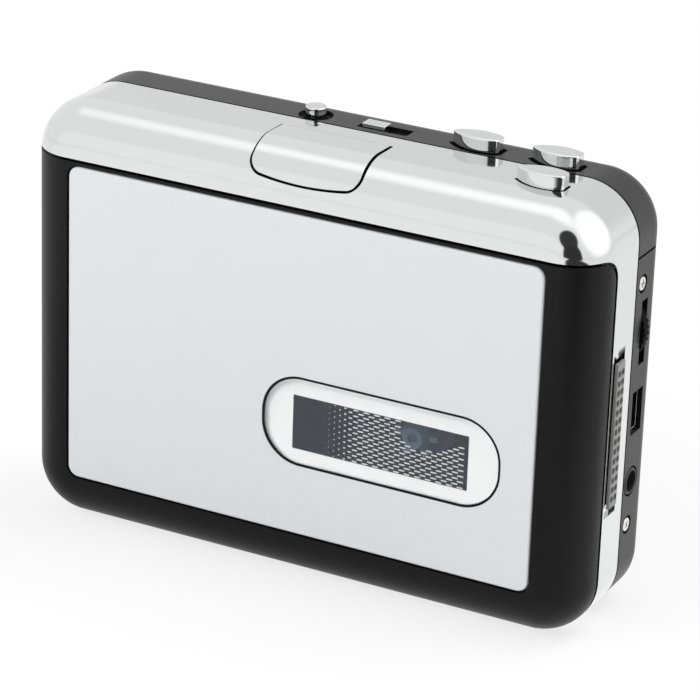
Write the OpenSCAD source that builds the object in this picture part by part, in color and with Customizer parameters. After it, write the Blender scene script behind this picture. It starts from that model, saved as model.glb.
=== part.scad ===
// Portable cassette player with a USB outlet, in millimetres.
// Pieces are drawn from the front: x to the right, y up, z towards the viewer,
// with depths counted back from the front face. stand() then sets them upright, front towards -Y.

/* [Body] */
// Width of the body
body_w = 114; // [114:0.5:124]
// Height of the body without its keys
body_h = 82; // [81:0.5:92]
// Depth of the body
body_d = 30; // [30:0.5:36]
// Radius of the four corners, seen from the front
corner_r = 11.5; // [10:0.5:13]
// Radius round the front edge
front_r = 8.5; // [6:0.5:9]
// Radius round the rear edge
rear_r = 5.5; // [4:0.5:6]
// Thickness of the shells
wall = 2; // [1.8:0.05:2.1]
// Gap in the lid's seam
seam = 0.3; // [0.2:0.05:0.4]
// Depth of the chrome band at the sides
band_depth = 8.7; // [8:0.1:9.5]
// Height of the top panel
top_panel_h = 13.3; // [12.5:0.1:14]

/* [Lid] */
// Depth of the lid
lid_depth = 9; // [8.5:0.1:9.5]
// Distance from the lid's top edge to the top of the body
lid_drop = 9.7; // [9:0.1:10.5]
// Radius of the lid's upper rear corner
lid_corner_r = 4.5; // [3:0.1:5]
// Distance from the face plate to the sides of the body
panel_side = 9.5; // [8:0.5:14]
// Distance from the face plate to the lid's top edge
panel_margin = 1.2; // [0.8:0.1:6]
// Height of the face plate's lower edge
panel_y = 9.6; // [9:0.1:10]
// Corner radius of the face plate
panel_r = 2.2; // [1:0.1:5]
// Thickness of the face plate
panel_t = 0.8; // [0.5:0.05:0.9]
// Gap round the face plate and round the window
panel_gap = 0.25; // [0.1:0.05:0.4]
// Length of the window
lens_w = 47; // [42:0.5:52]
// Height of the window
lens_h = 16.2; // [14:0.2:18]
// Thickness of the window
lens_t = 1.1; // [1:0.05:1.3]
// Thickness of the printed film behind the window
print_t = 0.2; // [0.1:0.05:0.3]
// Place of the window's centre across the body
lens_x = 17.35; // [0:0.05:20]
// Height of the window's centre
lens_y = 31.9; // [28:0.1:36]
// Width of the clear part of the window
view_w = 35; // [28:0.5:38]
// Height of the clear part of the window
view_h = 10.5; // [8:0.1:12]
// Distance from the side of the body to the hinge axis
hinge_inset = 2.2; // [2.1:0.05:2.4]
// Radius of the hinge barrel
barrel_r = 2; // [1.8:0.05:2.05]
// Height of the barrel's lower end
barrel_y = 10.5; // [10:0.1:14]
// Radius of the hinge pin
hinge_pin_r = 0.8; // [0.5:0.05:1]
// Length of the pin's seats in the frame
hinge_seat = 4; // [3:0.1:4.2]

/* [Cassette] */
// Height of the head and the keys above the cassette
head_space = 15.8; // [15.6:0.1:17]
// Thickness of a cassette at its thick edge
cassette_t = 12; // [11.8:0.1:12.2]
// Thickness of a cassette away from that edge
cassette_thin = 8.7; // [8.5:0.1:8.9]
// Room left round the cassette
cassette_room = 0.4; // [0.2:0.05:0.5]
// Distance between the two spindles
hub_spacing = 42.5; // [42.3:0.1:42.7]

/* [Keys] */
// Width of the play key
play_w = 22.4; // [18:0.2:26]
// Depth of the play key's rear edge
play_depth = 13.1; // [11:0.1:14]
// Distance from the top of the body to the play key's lower edge
play_drop = 5.3; // [4.5:0.1:6.5]
// Bow of the play key's lower edge
play_bow = 1; // [0.5:0.1:1.5]
// Height of the play key above the shell
play_proud = 0.5; // [0.2:0.05:0.8]
// Thickness of the play key
play_t = 2.2; // [1.8:0.1:2.4]
// Gap round the keys
key_gap = 0.3; // [0.2:0.05:0.4]
// Length of the oval keys
key_len = 10.5; // [9:0.1:11.5]
// Width of the oval keys
key_wide = 4.6; // [4:0.1:5]
// Height of the oval keys above the shell
key_tall = 3; // [2.5:0.1:4]
// Travel of the oval keys and of the round button
key_travel = 1.8; // [1.2:0.1:1.8]
// Radius of the key stems
stem_r = 1; // [0.8:0.05:1.2]
// Place of the stop key across the body
stop_x = 41.4; // [40:0.1:42]
// Depth of the stop key's centre
stop_depth = 10.4; // [10.2:0.1:11]
// Place of the rewind key across the body
rewind_x = 23.9; // [22:0.1:26]
// Place of the forward key across the body
forward_x = 39.3; // [38:0.1:41]
// Place of the direction button across the body
direction_x = -8.4; // [-10:0.1:-7]
// Radius of the direction button
direction_r = 2; // [1.7:0.05:2.3]
// Height of the direction button above the shell
direction_tall = 1.8; // [1.4:0.1:2.4]
// Left end of the mode slot
mode_x = 0.6; // [0:0.1:1]
// Length of the mode knob
mode_len = 5.2; // [4.5:0.1:5.6]
// Width of the mode knob
mode_wide = 2.6; // [2.2:0.1:3]
// Height of the mode knob above the shell
mode_tall = 1.2; // [0.8:0.1:1.6]
// Travel of the mode knob
mode_travel = 4.4; // [3.5:0.1:4.8]
// Lower end of the open slider
slider_y = 23.4; // [22.5:0.1:25]
// Length of the open slider
slider_len = 28.6; // [26:0.1:29]
// Width of the open slider
slider_wide = 5.4; // [4.6:0.1:5.8]
// Travel of the open slider
slider_travel = 2; // [1:0.1:2.2]
// Count of ribs on the open slider
slider_ribs = 14; // [8:1:16]

/* [Side] */
// Height of the volume wheel's centre
volume_y = 54; // [53.5:0.1:54.4]
// Radius of the volume wheel
volume_r = 7.5; // [7:0.1:7.8]
// Thickness of the volume wheel
volume_t = 2; // [1.6:0.1:2.1]
// How far the volume wheel stands out of the side
volume_proud = 0.8; // [0.4:0.1:1.2]
// Height of the USB socket's centre
usb_y = 39; // [38.5:0.1:39.8]
// Long side of the USB socket's shell
usb_long = 7.7; // [7.6:0.1:7.8]
// Short side of the USB socket's shell
usb_short = 3.9; // [3.8:0.1:4]
// Height of the headphone jack's centre
jack_y = 25.6; // [25.6:0.1:26]
// Radius of the headphone jack's bore
jack_bore_r = 1.8; // [1.75:0.01:1.85]
// Length of the headphone jack's bore
jack_bore_l = 12.8; // [12:0.1:13.5]
// Radius of the headphone jack's nose
jack_nose_r = 2.7; // [2.5:0.05:2.8]
// Heights of the side screws
side_screw_y = [17.5, 63.5]; // [15:0.1:66]
// Depth of the side screws
side_screw_depth = 20.5; // [20.2:0.1:21]
// Radius of the side screws' heads
side_head_r = 1.5; // [1.3:0.05:1.6]

/* [Deck] */
// Thickness of the well's floor
floor_t = 0.9; // [0.7:0.05:1]
// Thickness of the deck plate
plate_t = 1; // [0.8:0.05:1.1]
// Thickness of the bridge plate
bridge_t = 0.7; // [0.6:0.05:0.8]
// Teeth of the drive pinion
pinion_teeth = 16; // [15:1:17]
// Teeth of the idler gear
idler_teeth = 22; // [20:2:22]
// Teeth of the reel gears
reel_teeth = 30; // [28:1:30]
// Thickness of the gears
gear_t = 1.6; // [1.2:0.05:1.7]
// Radius of the flywheels
flywheel_r = 13; // [11:0.1:13.2]
// Thickness of the flywheels
flywheel_t = 2.2; // [1.8:0.05:2.3]
// Radius of the capstans
capstan_r = 1; // [0.9:0.05:1.2]
// Running clearance of the shafts
shaft_gap = 0.04; // [0.02:0.01:0.08]
// Radius of the reel posts
post_r = 0.95; // [0.7:0.05:1.1]
// Radius of the spindles' sleeves
sleeve_r = 2.5; // [2:0.05:2.8]
// Radius of the spindles over their fins
spindle_r = 4.3; // [4:0.05:4.5]
// Height of the motor's centre
motor_y = 36; // [36:0.1:37]
// Radius of the motor
motor_r = 9.5; // [8:0.1:9.6]
// Radius of the motor pulley at the foot of its groove
pulley_r = 1.8; // [1.5:0.1:2.4]
// Thickness of the drive belt
belt_t = 0.9; // [0.7:0.05:1]
// Width of the drive belt
belt_w = 1.1; // [0.8:0.05:1.2]
// Radius of the pinch rollers
pinch_r = 5; // [4.6:0.1:5.1]
// Travel of the head plate
head_travel = 7; // [6.5:0.1:7]
// Width of the tape head
head_w = 12; // [10:0.5:14]

/* [Board] */
// Thickness of the circuit board
board_t = 1.2; // [1:0.1:1.6]
// Gap between the bridge plate and the circuit board
board_gap = 1.6; // [1.5:0.05:1.7]

/* [Battery bay] */
// Diameter of an AA cell with its room
cell_room = 14.6; // [14.5:0.05:14.7]
// Thickness of the bay's walls
tray_t = 0.8; // [0.6:0.05:0.9]
// Thickness of the battery door
door_t = 1.2; // [1:0.05:1.2]
// Width of the ledge round the battery door
door_ledge = 1; // [0.8:0.05:1.2]

/* [Hidden] */
$fn = 64;

half_w = body_w / 2;
nominal_w = 114;
nominal_h = 82;
spread = body_w / nominal_w;
rise = body_h / nominal_h;
lid_top = body_h - lid_drop;
top_seam = body_h - top_panel_h;
key_margin = 0.8;
band_rear = min(lid_depth + band_depth, body_d - rear_r - key_wide - 2 * key_gap - 2 * key_margin);
rear_inner = body_d - wall;
top_inner = body_h - wall;
side_inner = half_w - wall;
panel_w = body_w - 2 * panel_side;
panel_h = lid_top - panel_y - panel_margin;
catch_drop = 15.3;
catch_y = lid_top - catch_drop;
hinge_x = hinge_inset - half_w;
barrel_top = lid_top - lid_corner_r - seam;
swing_room = 0.45;
over = 1;
slim_gap = 0.1;
nose_sink = 0.2;

cassette_low = wall + cassette_room;
cassette_top = body_h - head_space;
cassette_back = wall + cassette_room / 2 + cassette_t;
thin_back = cassette_back - (cassette_t - cassette_thin) / 2;
hub_x = hub_spacing / 2;
hub_share = 5 / 11;
hub_y = cassette_low + hub_share * (cassette_top - cassette_low);

run_gap = 0.3;
floor_front = cassette_back + cassette_room + slim_gap;
plate_front = floor_front + floor_t;
plate_back = plate_front + plate_t;
gear_front = plate_back + run_gap;
gear_back = gear_front + gear_t;
fly_front = gear_back + run_gap + slim_gap;
fly_back = fly_front + flywheel_t;
belt_mid = (fly_front + fly_back) / 2;
bridge_front = fly_back + run_gap;
bridge_back = bridge_front + bridge_t;
board_front = bridge_back + board_gap;
board_back = board_front + board_t;

capstan_drop = 7.8;
capstan_y = cassette_top - capstan_drop;
gear_m = 2 * (capstan_y - hub_y) / (reel_teeth + 2 * idler_teeth + pinion_teeth);
idler_y = hub_y + gear_m * (reel_teeth + idler_teeth) / 2;
groove_sink = 0.7;
groove_r = flywheel_r - groove_sink;
groove_half = belt_w / 2 + 0.2;
tooth_at = [-0.28, -0.11, 0.11, 0.28];
tooth_out = [-1.1, 0.75, 0.75, -1.1];
belt_gap = 0.15;
belt_track = belt_gap + belt_t / 2;

slip = 0.15;
head_back = plate_front - slip;
head_plate_t = 1;
head_front = head_back - head_plate_t;
pinch_y = cassette_top + run_gap + slim_gap + pinch_r;
head_rise = 2.3;
head_h = 8.5;
head_low = cassette_top + head_rise;
head_plate_low = cassette_top + 3.8;
head_plate_high = top_inner - 1.5;
head_plate_side = 4.75;
head_plate_half = hub_x + pinch_r + head_plate_side;
head_spring_depth = thin_back + 1.65;
head_spring_r = 1.1;
head_wire = 0.2;
head_turns = 8;
head_ledge_t = 1;
head_ledge_y = head_plate_low - head_travel - 0.5;
head_tab_rise = 5;
head_tab_y = head_ledge_y + head_travel + head_tab_rise;
head_tab_half = 2.5;
head_tab_lip = 1.4;
head_tab_t = 1;
head_way_low = head_ledge_y - 1.5;
head_way_side = 1.5;
head_nose_r = 10;
head_reach = 9.8;

rail_t = 0.8;
flange_t = 0.8;
flange_grow = 0.7;
flange_top = top_inner - run_gap;
flange_low = flange_top - flange_t;
rail_top = flange_low - key_travel - 2.7;
rail_low = rail_top - rail_t;
stem_low = rail_low + 0.2;
rear_key_depth = (band_rear + body_d - rear_r) / 2;
coil_r = stem_r + 0.7;
coil_wire = 0.22;
coil_turns = 4;
coil_steps = 8;
coil_sides = 6;
key_blunt = 0.94;
direction_dish = 1.2;
direction_lip = 0.4;
direction_lip_t = 0.7;
rail_side = 4.6;
rail_margin = 3.5;
shelf_half = 5;

tray_front = thin_back + 0.75;
bay_h = cell_room * rise;
bay_low = 3.2 * rise;
bay_side = 3.1;
bay_half_w = side_inner - bay_side;
cell_depth = (tray_front + tray_t + body_d - door_t) / 2;
cell_y = wall + bay_low + tray_t + bay_h / 2;
tray_half_w = bay_half_w + tray_t;
tray_half_h = bay_h / 2 + slim_gap + tray_t;
door_half_h = bay_h / 2 + slim_gap + door_ledge;
door_gap = 0.2;
door_corner_r = 2;

column_r = 2;
deck_half = side_inner - 2.8;
deck_gap = 0.7;
deck_low = cell_y + tray_half_h + deck_gap;
head_spring_in = 13.7;
head_spring_x = head_spring_in - deck_half;
column_x = side_inner - 5;
column_top = rail_low - 8.6;
bridge_gap = 0.5;
columns = [
    [-column_x, deck_low + column_r],
    [column_x - 1.5, hub_y + 0.4],
    [-column_x, column_top],
    [column_x, column_top]
];
bridge_left = 41;
bridge_right = min(bridge_left, half_w + volume_proud - 2 * volume_r - bridge_gap);
bridge_points = [
    [3 - bridge_left, capstan_y + 5.1],
    [0, capstan_y + 7.6],
    [0, capstan_y - 8.4],
    [bridge_right - 3, capstan_y - 11.4]
];
bridge_low = capstan_y - 14.4;
bridge_high = capstan_y + 10.6;
post_body_r = 1.6;
screw_r = 0.8;
screw_gap = 0.08;
screw_head_r = 2 * screw_r;
screw_head_t = 0.8;

volume_at = volume_y * rise;
usb_at = usb_y * rise;
jack_at = jack_y * rise;
screws_at = side_screw_y * rise;
stop_at = stop_x * spread;
rewind_at = rewind_x * spread;
forward_at = forward_x * spread;
direction_at = direction_x * spread;
mode_at = mode_x * spread;
slider_at = slider_y * rise;
slider_l = slider_len * rise;
volume_x = half_w + volume_proud - volume_r;
volume_back = board_front - 0.5;
volume_front = volume_back - volume_t;
pot_r = 1.5;
pot_body_r = 4.5;
pot_cap_r = 2.3;
pot_cap_t = 0.8;
volume_notches = 40;
volume_notch = 0.3;

tab_in = side_inner - 2;
tab_out = side_inner - 0.2;
tab_half = 2;
tab_front = 12;
side_shank_r = 0.9;
side_recess = 1;
side_head_gap = 0.35;

slider_depth = (lid_depth + band_rear) / 2 - 0.2;
slider_sink = 0.5;
slider_room = 0.25;
slider_proud = 0.9;
slider_stem = [slider_at + 6.6, slider_at + slider_l - 6];
slider_rib = 0.4;
slider_foot = [side_inner - 1.6, side_inner - 0.2];
slider_foot_half = 2.2;
slider_foot_over = 2;
latch_t = 1.4;
latch_gap = 0.5;

press_gap = 0.02;
screw_grip = 6;
screw_bite = 2.5;
post_grip = 4;
usb_gap = 0.25;
usb_reach = 9;
usb_shell = 0.4;
usb_sink = 0.5;
usb_tongue_half = 0.35;
usb_tongue_sink = 1.6;
usb_back = 0.8;
jack_body = 5.1;
jack_block = [side_inner - 12.4, side_inner - 0.3];
jack_depth = board_front - jack_body / 2;
dish = 1;
mode_end = 0.2;
mode_stem_half = 0.7;
mode_stem_low = top_inner - 2.5;
mode_rib_count = 4;
mode_rib = 0.3;
mode_body_side = 2;
mode_body_half = 2.4;
mode_body_h = 3.5;
slider_stem_half = 1.2;
hinge_pin_low = barrel_y - seam - hinge_seat + 0.6;
hinge_pin_high = lid_top + seam + hinge_seat - 0.6;
bush_r = 2.4;
bush_proud = 0.6;
sleeve_gap = 0.5;
post_tip = 0.4;
post_end = 0.2;
seat_web = 0.4;
barrel_gap = 0.7;
catch_h = 3;
catch_t = 1.5;
catch_reach = 4;
catch_tip = 2.5;
motor_boss_r = 3;
motor_shaft_r = 0.75;
motor_side = 2.7;
motor_x = motor_r + motor_side - side_inner;
motor_l = rear_inner - bridge_back - run_gap;
motor_shaft_l = motor_l / 2;
motor_pad_side = 1;
motor_pad_lap = 4;
pulley_lip = 0.9;
board_left = 8;
board_high = capstan_y + 3.6;
board_points = [[14, deck_low + 3.8], [14, board_high - 5], [38, board_high - 5]];
board_side = 2.6;
board_column_gap = 0.6;
chips = [
    [[28, 38], [25, 35], 1.2],
    [[12, 17], [46, 50], 1],
    [[30, 31.6], [38, 39], 0.7],
    [[33, 34.6], [38, 39], 0.7]
];
cans = [[13, bridge_low - 8], [13, bridge_low - 3]];
can_r = 2;
can_l = 2.8;
contact_t = 0.4;
contact_half = 4.5;
battery_coil_l = 2.6;
battery_coil_r = 3;
battery_wire = 0.3;
battery_turns = 3;
spindle_reach = 8.6;
spindle_tip = cassette_back - spindle_reach;
pinch_pin_r = 0.75;
roller_reach = 9;
roller_w = 6;
roller_front = cassette_back - roller_reach;
roller_back = roller_front + roller_w;
pinch_arm_half_w = 4;
pinch_arm_half_h = 2.6;
pinch_arm_t = 1.8;
pinch_pin_over = 0.4;
capstan_reach = 9.6;
spindle_core = 1.5;
spindle_nose = 1.4;
spindle_nose_in = 0.8;
spindle_foot_t = 1.2;
spindle_brim = 1;
spindle_fin_half = 0.5;
arch_r = 30;
arch_rise = 1.4;
arch_t = 0.3;
arch_w = 6;
arch_at = [36, cassette_top - 10.2];

function behind(depth) = body_d / 2 - depth;
function span(middle, half) = [middle - half, middle + half];
function from(start, length) = [start, start + length];

// Sets the front drawing upright
module stand() {
    rotate([90, 0, 0]) children();
}

// A front outline made solid between two depths behind the front face
module slab(near, far) {
    translate([0, 0, behind(far)]) linear_extrude(far - near) children();
}

// A side outline made solid across the body
module across(width) {
    rotate([0, -90, 0]) linear_extrude(width, center = true) children();
}

// A plan outline made solid between two heights
module upright(low, high) {
    translate([0, high, 0]) rotate([90, 0, 0]) linear_extrude(high - low) children();
}

// A round bar along the depth, between two depths
module rod(at, near, far, r) {
    translate([at[0], at[1], behind(far)]) cylinder(r = r, h = far - near);
}

// A round bar along the height, between two heights
module pole(x, depth, low, high, r) {
    translate([x, low, behind(depth)]) rotate([-90, 0, 0]) cylinder(r = r, h = high - low);
}

// A round bar across the body, between two places
module bar(height, depth, from, to, r) {
    translate([from, height, behind(depth)]) rotate([0, 90, 0]) cylinder(r = r, h = to - from);
}

// A block between two places across, two heights and two depths
module block(x, y, depth) {
    translate([x[0], y[0], behind(depth[1])]) cube([x[1] - x[0], y[1] - y[0], depth[1] - depth[0]]);
}

// A rectangle with round corners, centred
module soft_square(w, h, r) {
    square([w - 2 * r, h], center = true);
    square([w, h - 2 * r], center = true);
    for (x = [-1, 1], y = [-1, 1]) translate([x * (w / 2 - r), y * (h / 2 - r)]) circle(r);
}

// The section of the body's edge, from the corner's centre outwards, drawn in by an inset
module edge_section(inset) {
    reach = corner_r - inset;
    front = front_r - inset;
    rear = rear_r - inset;
    half = body_d / 2 - inset;
    translate([0, rear - half]) square([reach, 2 * half - front - rear]);
    translate([0, -half]) square([reach - rear, rear]);
    translate([0, half - front]) square([reach - front, front]);
    translate([reach - front, half - front]) intersection() {
        circle(front);
        square(front);
    }
    translate([reach - rear, rear - half]) intersection() {
        circle(rear);
        translate([0, -rear]) square(rear);
    }
}

// The body's outer form, drawn in by an inset
module envelope(inset) {
    across_w = body_w - 2 * corner_r;
    up_h = body_h - 2 * corner_r;
    half = body_d / 2 - inset;
    translate([-across_w / 2, corner_r, -half]) cube([across_w, up_h, 2 * half]);
    for (side = [0, 1]) mirror([side, 0, 0]) {
        translate([across_w / 2, corner_r + up_h, 0]) {
            rotate([90, 0, 0]) linear_extrude(up_h) edge_section(inset);
            rotate_extrude(angle = 90) edge_section(inset);
        }
        translate([across_w / 2, corner_r, 0])
            rotate([0, 0, -90]) rotate_extrude(angle = 90) edge_section(inset);
    }
    translate([-across_w / 2, corner_r + up_h, 0])
        rotate([90, 0, 90]) linear_extrude(across_w) edge_section(inset);
    translate([across_w / 2, corner_r, 0])
        rotate([90, 0, -90]) linear_extrude(across_w) edge_section(inset);
}

// The lid's share of the body in side view, drawn in by an inset
module lid_side(inset) {
    rear = behind(lid_depth) + inset;
    top = lid_top - inset;
    r = lid_corner_r;
    translate([rear + r, -wall]) square([body_d, top + wall]);
    translate([rear, -wall]) square([r, top + wall - r]);
    translate([rear + r, top - r]) circle(r);
}

// The space behind the chrome band, between two heights
module rear_zone(low, high) {
    block([-body_w, body_w], [low, high], [band_rear, 2 * body_d]);
}

module panel_outline(grow) {
    translate([0, panel_y + panel_h / 2]) soft_square(panel_w + 2 * grow, panel_h + 2 * grow, panel_r + grow);
}

module lens_outline(grow) {
    reach = (lens_w - lens_h) / 2;
    translate([lens_x, lens_y]) {
        square([2 * reach, lens_h + 2 * grow], center = true);
        for (side = [-1, 1]) translate([side * reach, 0]) circle(lens_h / 2 + grow);
    }
}

module view_outline() {
    translate([lens_x, lens_y]) square([view_w, view_h], center = true);
}

// The plan of an oval key, two arcs with blunted ends
module oval_plan(x, depth, grow) {
    long = key_len / 2;
    half = key_wide / 2;
    arc_r = (long * long + half * half) / key_wide;
    translate([x, behind(depth)]) intersection() {
        translate([0, arc_r - half]) circle(arc_r + grow);
        translate([0, half - arc_r]) circle(arc_r + grow);
        square([key_blunt * key_len + 2 * grow, key_len], center = true);
    }
}

// The play key's outline square to the way it is pressed, with its upper edge at the rear
module play_outline(grow) {
    slant = sqrt(0.5);
    upper = slant * play_depth;
    lower = -slant * play_drop;
    bow_r = (play_w * play_w / 4 + play_bow * play_bow) / (2 * play_bow);
    intersection() {
        translate([-play_w / 2 - grow, lower - grow]) square([play_w + 2 * grow, upper - lower + 2 * grow]);
        translate([0, lower + bow_r]) circle(bow_r + grow, $fn = 128);
    }
}

// The straight way that the play key is pressed along, from the outside inwards
module play_way() {
    translate([0, body_h - front_r, behind(front_r)]) rotate([-45, 0, 0])
        translate([0, 0, -play_t]) linear_extrude(2 * front_r + play_t) children();
}

// A wire coil along the height, between two heights
module coil(x, depth, low, high, r, wire, turns) {
    steps = turns * coil_steps;
    sides = coil_sides;
    rise = high - low - 2 * wire;
    points = [for (i = [0:steps], k = [0:sides - 1])
        let (a = 360 * i / coil_steps, b = 360 * k / sides, out = r + wire * cos(b))
        [out * cos(a), low + wire + rise * i / steps + wire * sin(b), out * sin(a)]];
    walls = [for (i = [0:steps - 1], k = [0:sides - 1], half = [0, 1])
        let (a = i * sides + k, b = i * sides + (k + 1) % sides)
        half == 0 ? [a, b, a + sides] : [b, b + sides, a + sides]];
    first = [for (k = [1:sides - 2]) [0, k + 1, k]];
    last = [for (k = [1:sides - 2]) [steps * sides, steps * sides + k, steps * sides + k + 1]];
    translate([x, 0, behind(depth)]) polyhedron(points, concat(walls, first, last));
}

// The outline of a gear with a tooth or a gap at the top
module gear_outline(teeth, start) {
    pitch = 360 / teeth;
    mid = gear_m * teeth / 2;
    polygon([for (i = [0:teeth - 1], k = [0:3])
        let (a = start + pitch * (i + tooth_at[k]), r = mid + gear_m * tooth_out[k])
        r * [cos(a), sin(a)]]);
}

module gear(at, teeth, start, bore) {
    slab(gear_front, gear_back) translate(at) difference() {
        gear_outline(teeth, start);
        circle(bore);
    }
}

// The belt's wheels in the order it runs: centre, radius at the belt's middle, and turn
belt_wheels = [
    [[motor_x, motor_y], pulley_r + belt_track, 1],
    [[hub_x, capstan_y], groove_r + belt_track, 1],
    [[-hub_x, capstan_y], groove_r + belt_track, -1]
];

// The heading of the straight run from one wheel to the next
function heading(a, b) =
    let (d = b[0] - a[0])
    atan2(d[1], d[0]) + asin((a[2] * a[1] - b[2] * b[1]) / norm(d));

// One edge of the belt, offset to the right of its run
function belt_edge(offset) = [for (k = [0:2])
    let (
        last = belt_wheels[(k + 2) % 3],
        wheel = belt_wheels[k],
        into = heading(last, wheel),
        out = heading(wheel, belt_wheels[(k + 1) % 3]),
        turn = (wheel[2] * (out - into) + 720) % 360,
        steps = 24
    )
    for (i = [0:steps])
        let (h = into + wheel[2] * turn * i / steps)
        wheel[0] + (wheel[2] * wheel[1] + offset) * [sin(h), -cos(h)]];

module rear_case() color("#242427") stand() {
    usb_mid = board_front - usb_short / 2;
    slot_half = sqrt(volume_r * volume_r - (side_inner - volume_x) * (side_inner - volume_x)) + slider_room;
    difference() {
        union() {
            difference() {
                intersection() {
                    envelope(0);
                    rear_zone(-wall, top_seam);
                }
                envelope(wall);
            }
            for (at = columns) rod(at, plate_back, body_d - wall / 2, column_r);
            for (at = board_points) rod(at, board_back, body_d - wall / 2, column_r);
            for (side = [-1, 1]) rod([side * hub_x, hub_y], gear_back + run_gap, body_d - wall / 2, column_r);
        }
        for (at = columns) rod(at, plate_back - over, plate_back + screw_grip + over, screw_r + screw_gap);
        for (side = [-1, 1]) rod([side * hub_x, hub_y], gear_back, gear_back + post_grip, post_r + press_gap);
        side_screw_holes();
        block([side_inner - over, body_w], span(usb_at, usb_long / 2 + usb_gap),
            span(usb_mid, usb_short / 2 + usb_gap));
        bar(jack_at, jack_depth, side_inner - over, body_w, jack_nose_r + usb_gap);
        block([side_inner - over, body_w], span(volume_at, slot_half),
            [volume_front - slider_room, volume_back + slider_room]);
        slab(body_d - door_t, 2 * body_d) door_outline(door_gap);
        slab(rear_inner - over, 2 * body_d) door_outline(-door_ledge);
    }
}

module top_panel() color("#2a2a2d") stand() {
    difference() {
        intersection() {
            envelope(0);
            rear_zone(top_seam, 2 * body_h);
        }
        envelope(wall);
        upright(top_inner - over, 2 * body_h) {
            oval_plan(rewind_at, rear_key_depth, key_gap);
            oval_plan(forward_at, rear_key_depth, key_gap);
        }
        pole(direction_at, rear_key_depth, top_inner - over, 2 * body_h, direction_r + key_gap);
        pole(direction_at, rear_key_depth, body_h - dish, 2 * body_h, direction_r + direction_dish);
        block([mode_at, mode_at + mode_len + mode_travel + 2 * mode_end], [body_h - dish, 2 * body_h],
            span(rear_key_depth, mode_wide / 2 + key_gap));
        mode_stem_way(top_inner - over, 2 * body_h);
    }
}

module chrome_bezel() color("#d6d8db") stand() {
    swing_r = barrel_r + swing_room;
    difference() {
        union() {
            difference() {
                intersection() {
                    envelope(0);
                    block([-body_w, body_w], [-body_h, 2 * body_h], [-body_d, band_rear]);
                }
                envelope(wall);
                across(2 * body_w) lid_side(-seam / 2);
                pole(hinge_x, lid_depth, barrel_y - seam, lid_top, swing_r);
                block([-body_w, hinge_x], [barrel_y - seam, lid_top], [0, lid_depth + swing_r + slim_gap]);
            }
            intersection() {
                envelope(seam);
                union() {
                    hinge_seat_at(barrel_y - seam - hinge_seat);
                    hinge_seat_at(lid_top + seam);
                }
            }
            for (side = [0, 1], y = screws_at) mirror([side, 0, 0]) {
                block([tab_in, side_inner + wall / 4], span(y, tab_half), [tab_front, band_rear]);
                block([tab_in, tab_out], span(y, tab_half), [tab_front, side_screw_depth + tab_half]);
            }
        }
        pole(hinge_x, lid_depth, hinge_pin_low, hinge_pin_high, hinge_pin_r + press_gap);
        play_way() play_outline(key_gap);
        upright(top_inner - over, 2 * body_h) oval_plan(stop_at, stop_depth, key_gap);
        block([half_w - slider_sink - slim_gap, body_w],
            [slider_at - slider_room, slider_at + slider_l + slider_travel + slider_room],
            span(slider_depth, slider_wide / 2 + slider_room));
        block([side_inner - over, body_w], slider_stem + [-slider_room, slider_travel + slider_room],
            span(slider_depth, slider_stem_half + slider_room));
        side_screw_holes();
    }
}

// A round seat for the hinge pin, webbed back to the frame
module hinge_seat_at(low) {
    pole(hinge_x, lid_depth, low, low + hinge_seat, barrel_r);
    block(span(hinge_x, barrel_r - seat_web), from(low, hinge_seat),
        [lid_depth, lid_depth + barrel_r + seat_web]);
}

// The side screws' holes, in both sides
module side_screw_holes() {
    for (side = [0, 1], y = screws_at) mirror([side, 0, 0]) {
        bar(y, side_screw_depth, tab_in - over, body_w, side_shank_r + screw_gap);
        bar(y, side_screw_depth, half_w - side_recess, body_w, side_head_r + side_head_gap);
    }
}

module well_floor() color("#1b1b1d") stand() {
    slab(floor_front, plate_front) difference() {
        translate([-deck_half, deck_low]) square([2 * deck_half, rail_low - deck_low]);
        translate([head_spring_x - head_tab_half - head_way_side, head_way_low])
            square([head_plate_half + head_tab_half + 2 * head_way_side - head_spring_x, body_h]);
        for (side = [-1, 1]) {
            translate([side * hub_x, hub_y]) circle(sleeve_r + sleeve_gap);
            translate([side * hub_x, capstan_y]) circle(bush_r + run_gap);
        }
        for (at = columns) translate(at) circle(screw_r + 2 * screw_gap);
    }
}

module deck_plate() color("#b4b7bb") stand() {
    slab(plate_front, plate_back) difference() {
        translate([-deck_half, deck_low]) square([2 * deck_half, rail_low - deck_low]);
        for (side = [-1, 1]) {
            translate([side * hub_x, hub_y]) circle(sleeve_r + sleeve_gap);
            translate([side * hub_x, capstan_y]) circle(bush_r + press_gap);
        }
        translate([hub_x, idler_y]) circle(post_r + press_gap);
        for (at = columns) translate(at) circle(screw_r + 2 * screw_gap);
    }
    block(span(head_spring_x, head_tab_half), [head_ledge_y - head_ledge_t, head_ledge_y],
        [head_spring_depth - head_tab_lip, plate_front + plate_t / 2]);
}

module bridge_plate() color("#aeb1b5") stand() {
    slab(bridge_front, bridge_back) difference() {
        union() {
            translate([-bridge_left, bridge_low])
                square([bridge_left + bridge_right, bridge_high - bridge_low]);
            translate([motor_x - motor_r, motor_y - motor_r])
                square([2 * motor_r + motor_pad_side, motor_r + bridge_low - motor_y + motor_pad_lap]);
        }
        for (side = [-1, 1]) translate([side * hub_x, capstan_y]) circle(capstan_r + shaft_gap);
        translate([motor_x, motor_y]) circle(motor_boss_r + slim_gap);
        for (at = bridge_points) translate(at) circle(screw_r + screw_gap);
    }
}

module bridge_posts() color("#9a9da1") stand() {
    for (at = bridge_points) difference() {
        rod(at, plate_back, bridge_front, post_body_r);
        rod(at, bridge_front - screw_bite - run_gap, bridge_front + over, screw_r + screw_gap);
    }
}

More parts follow.
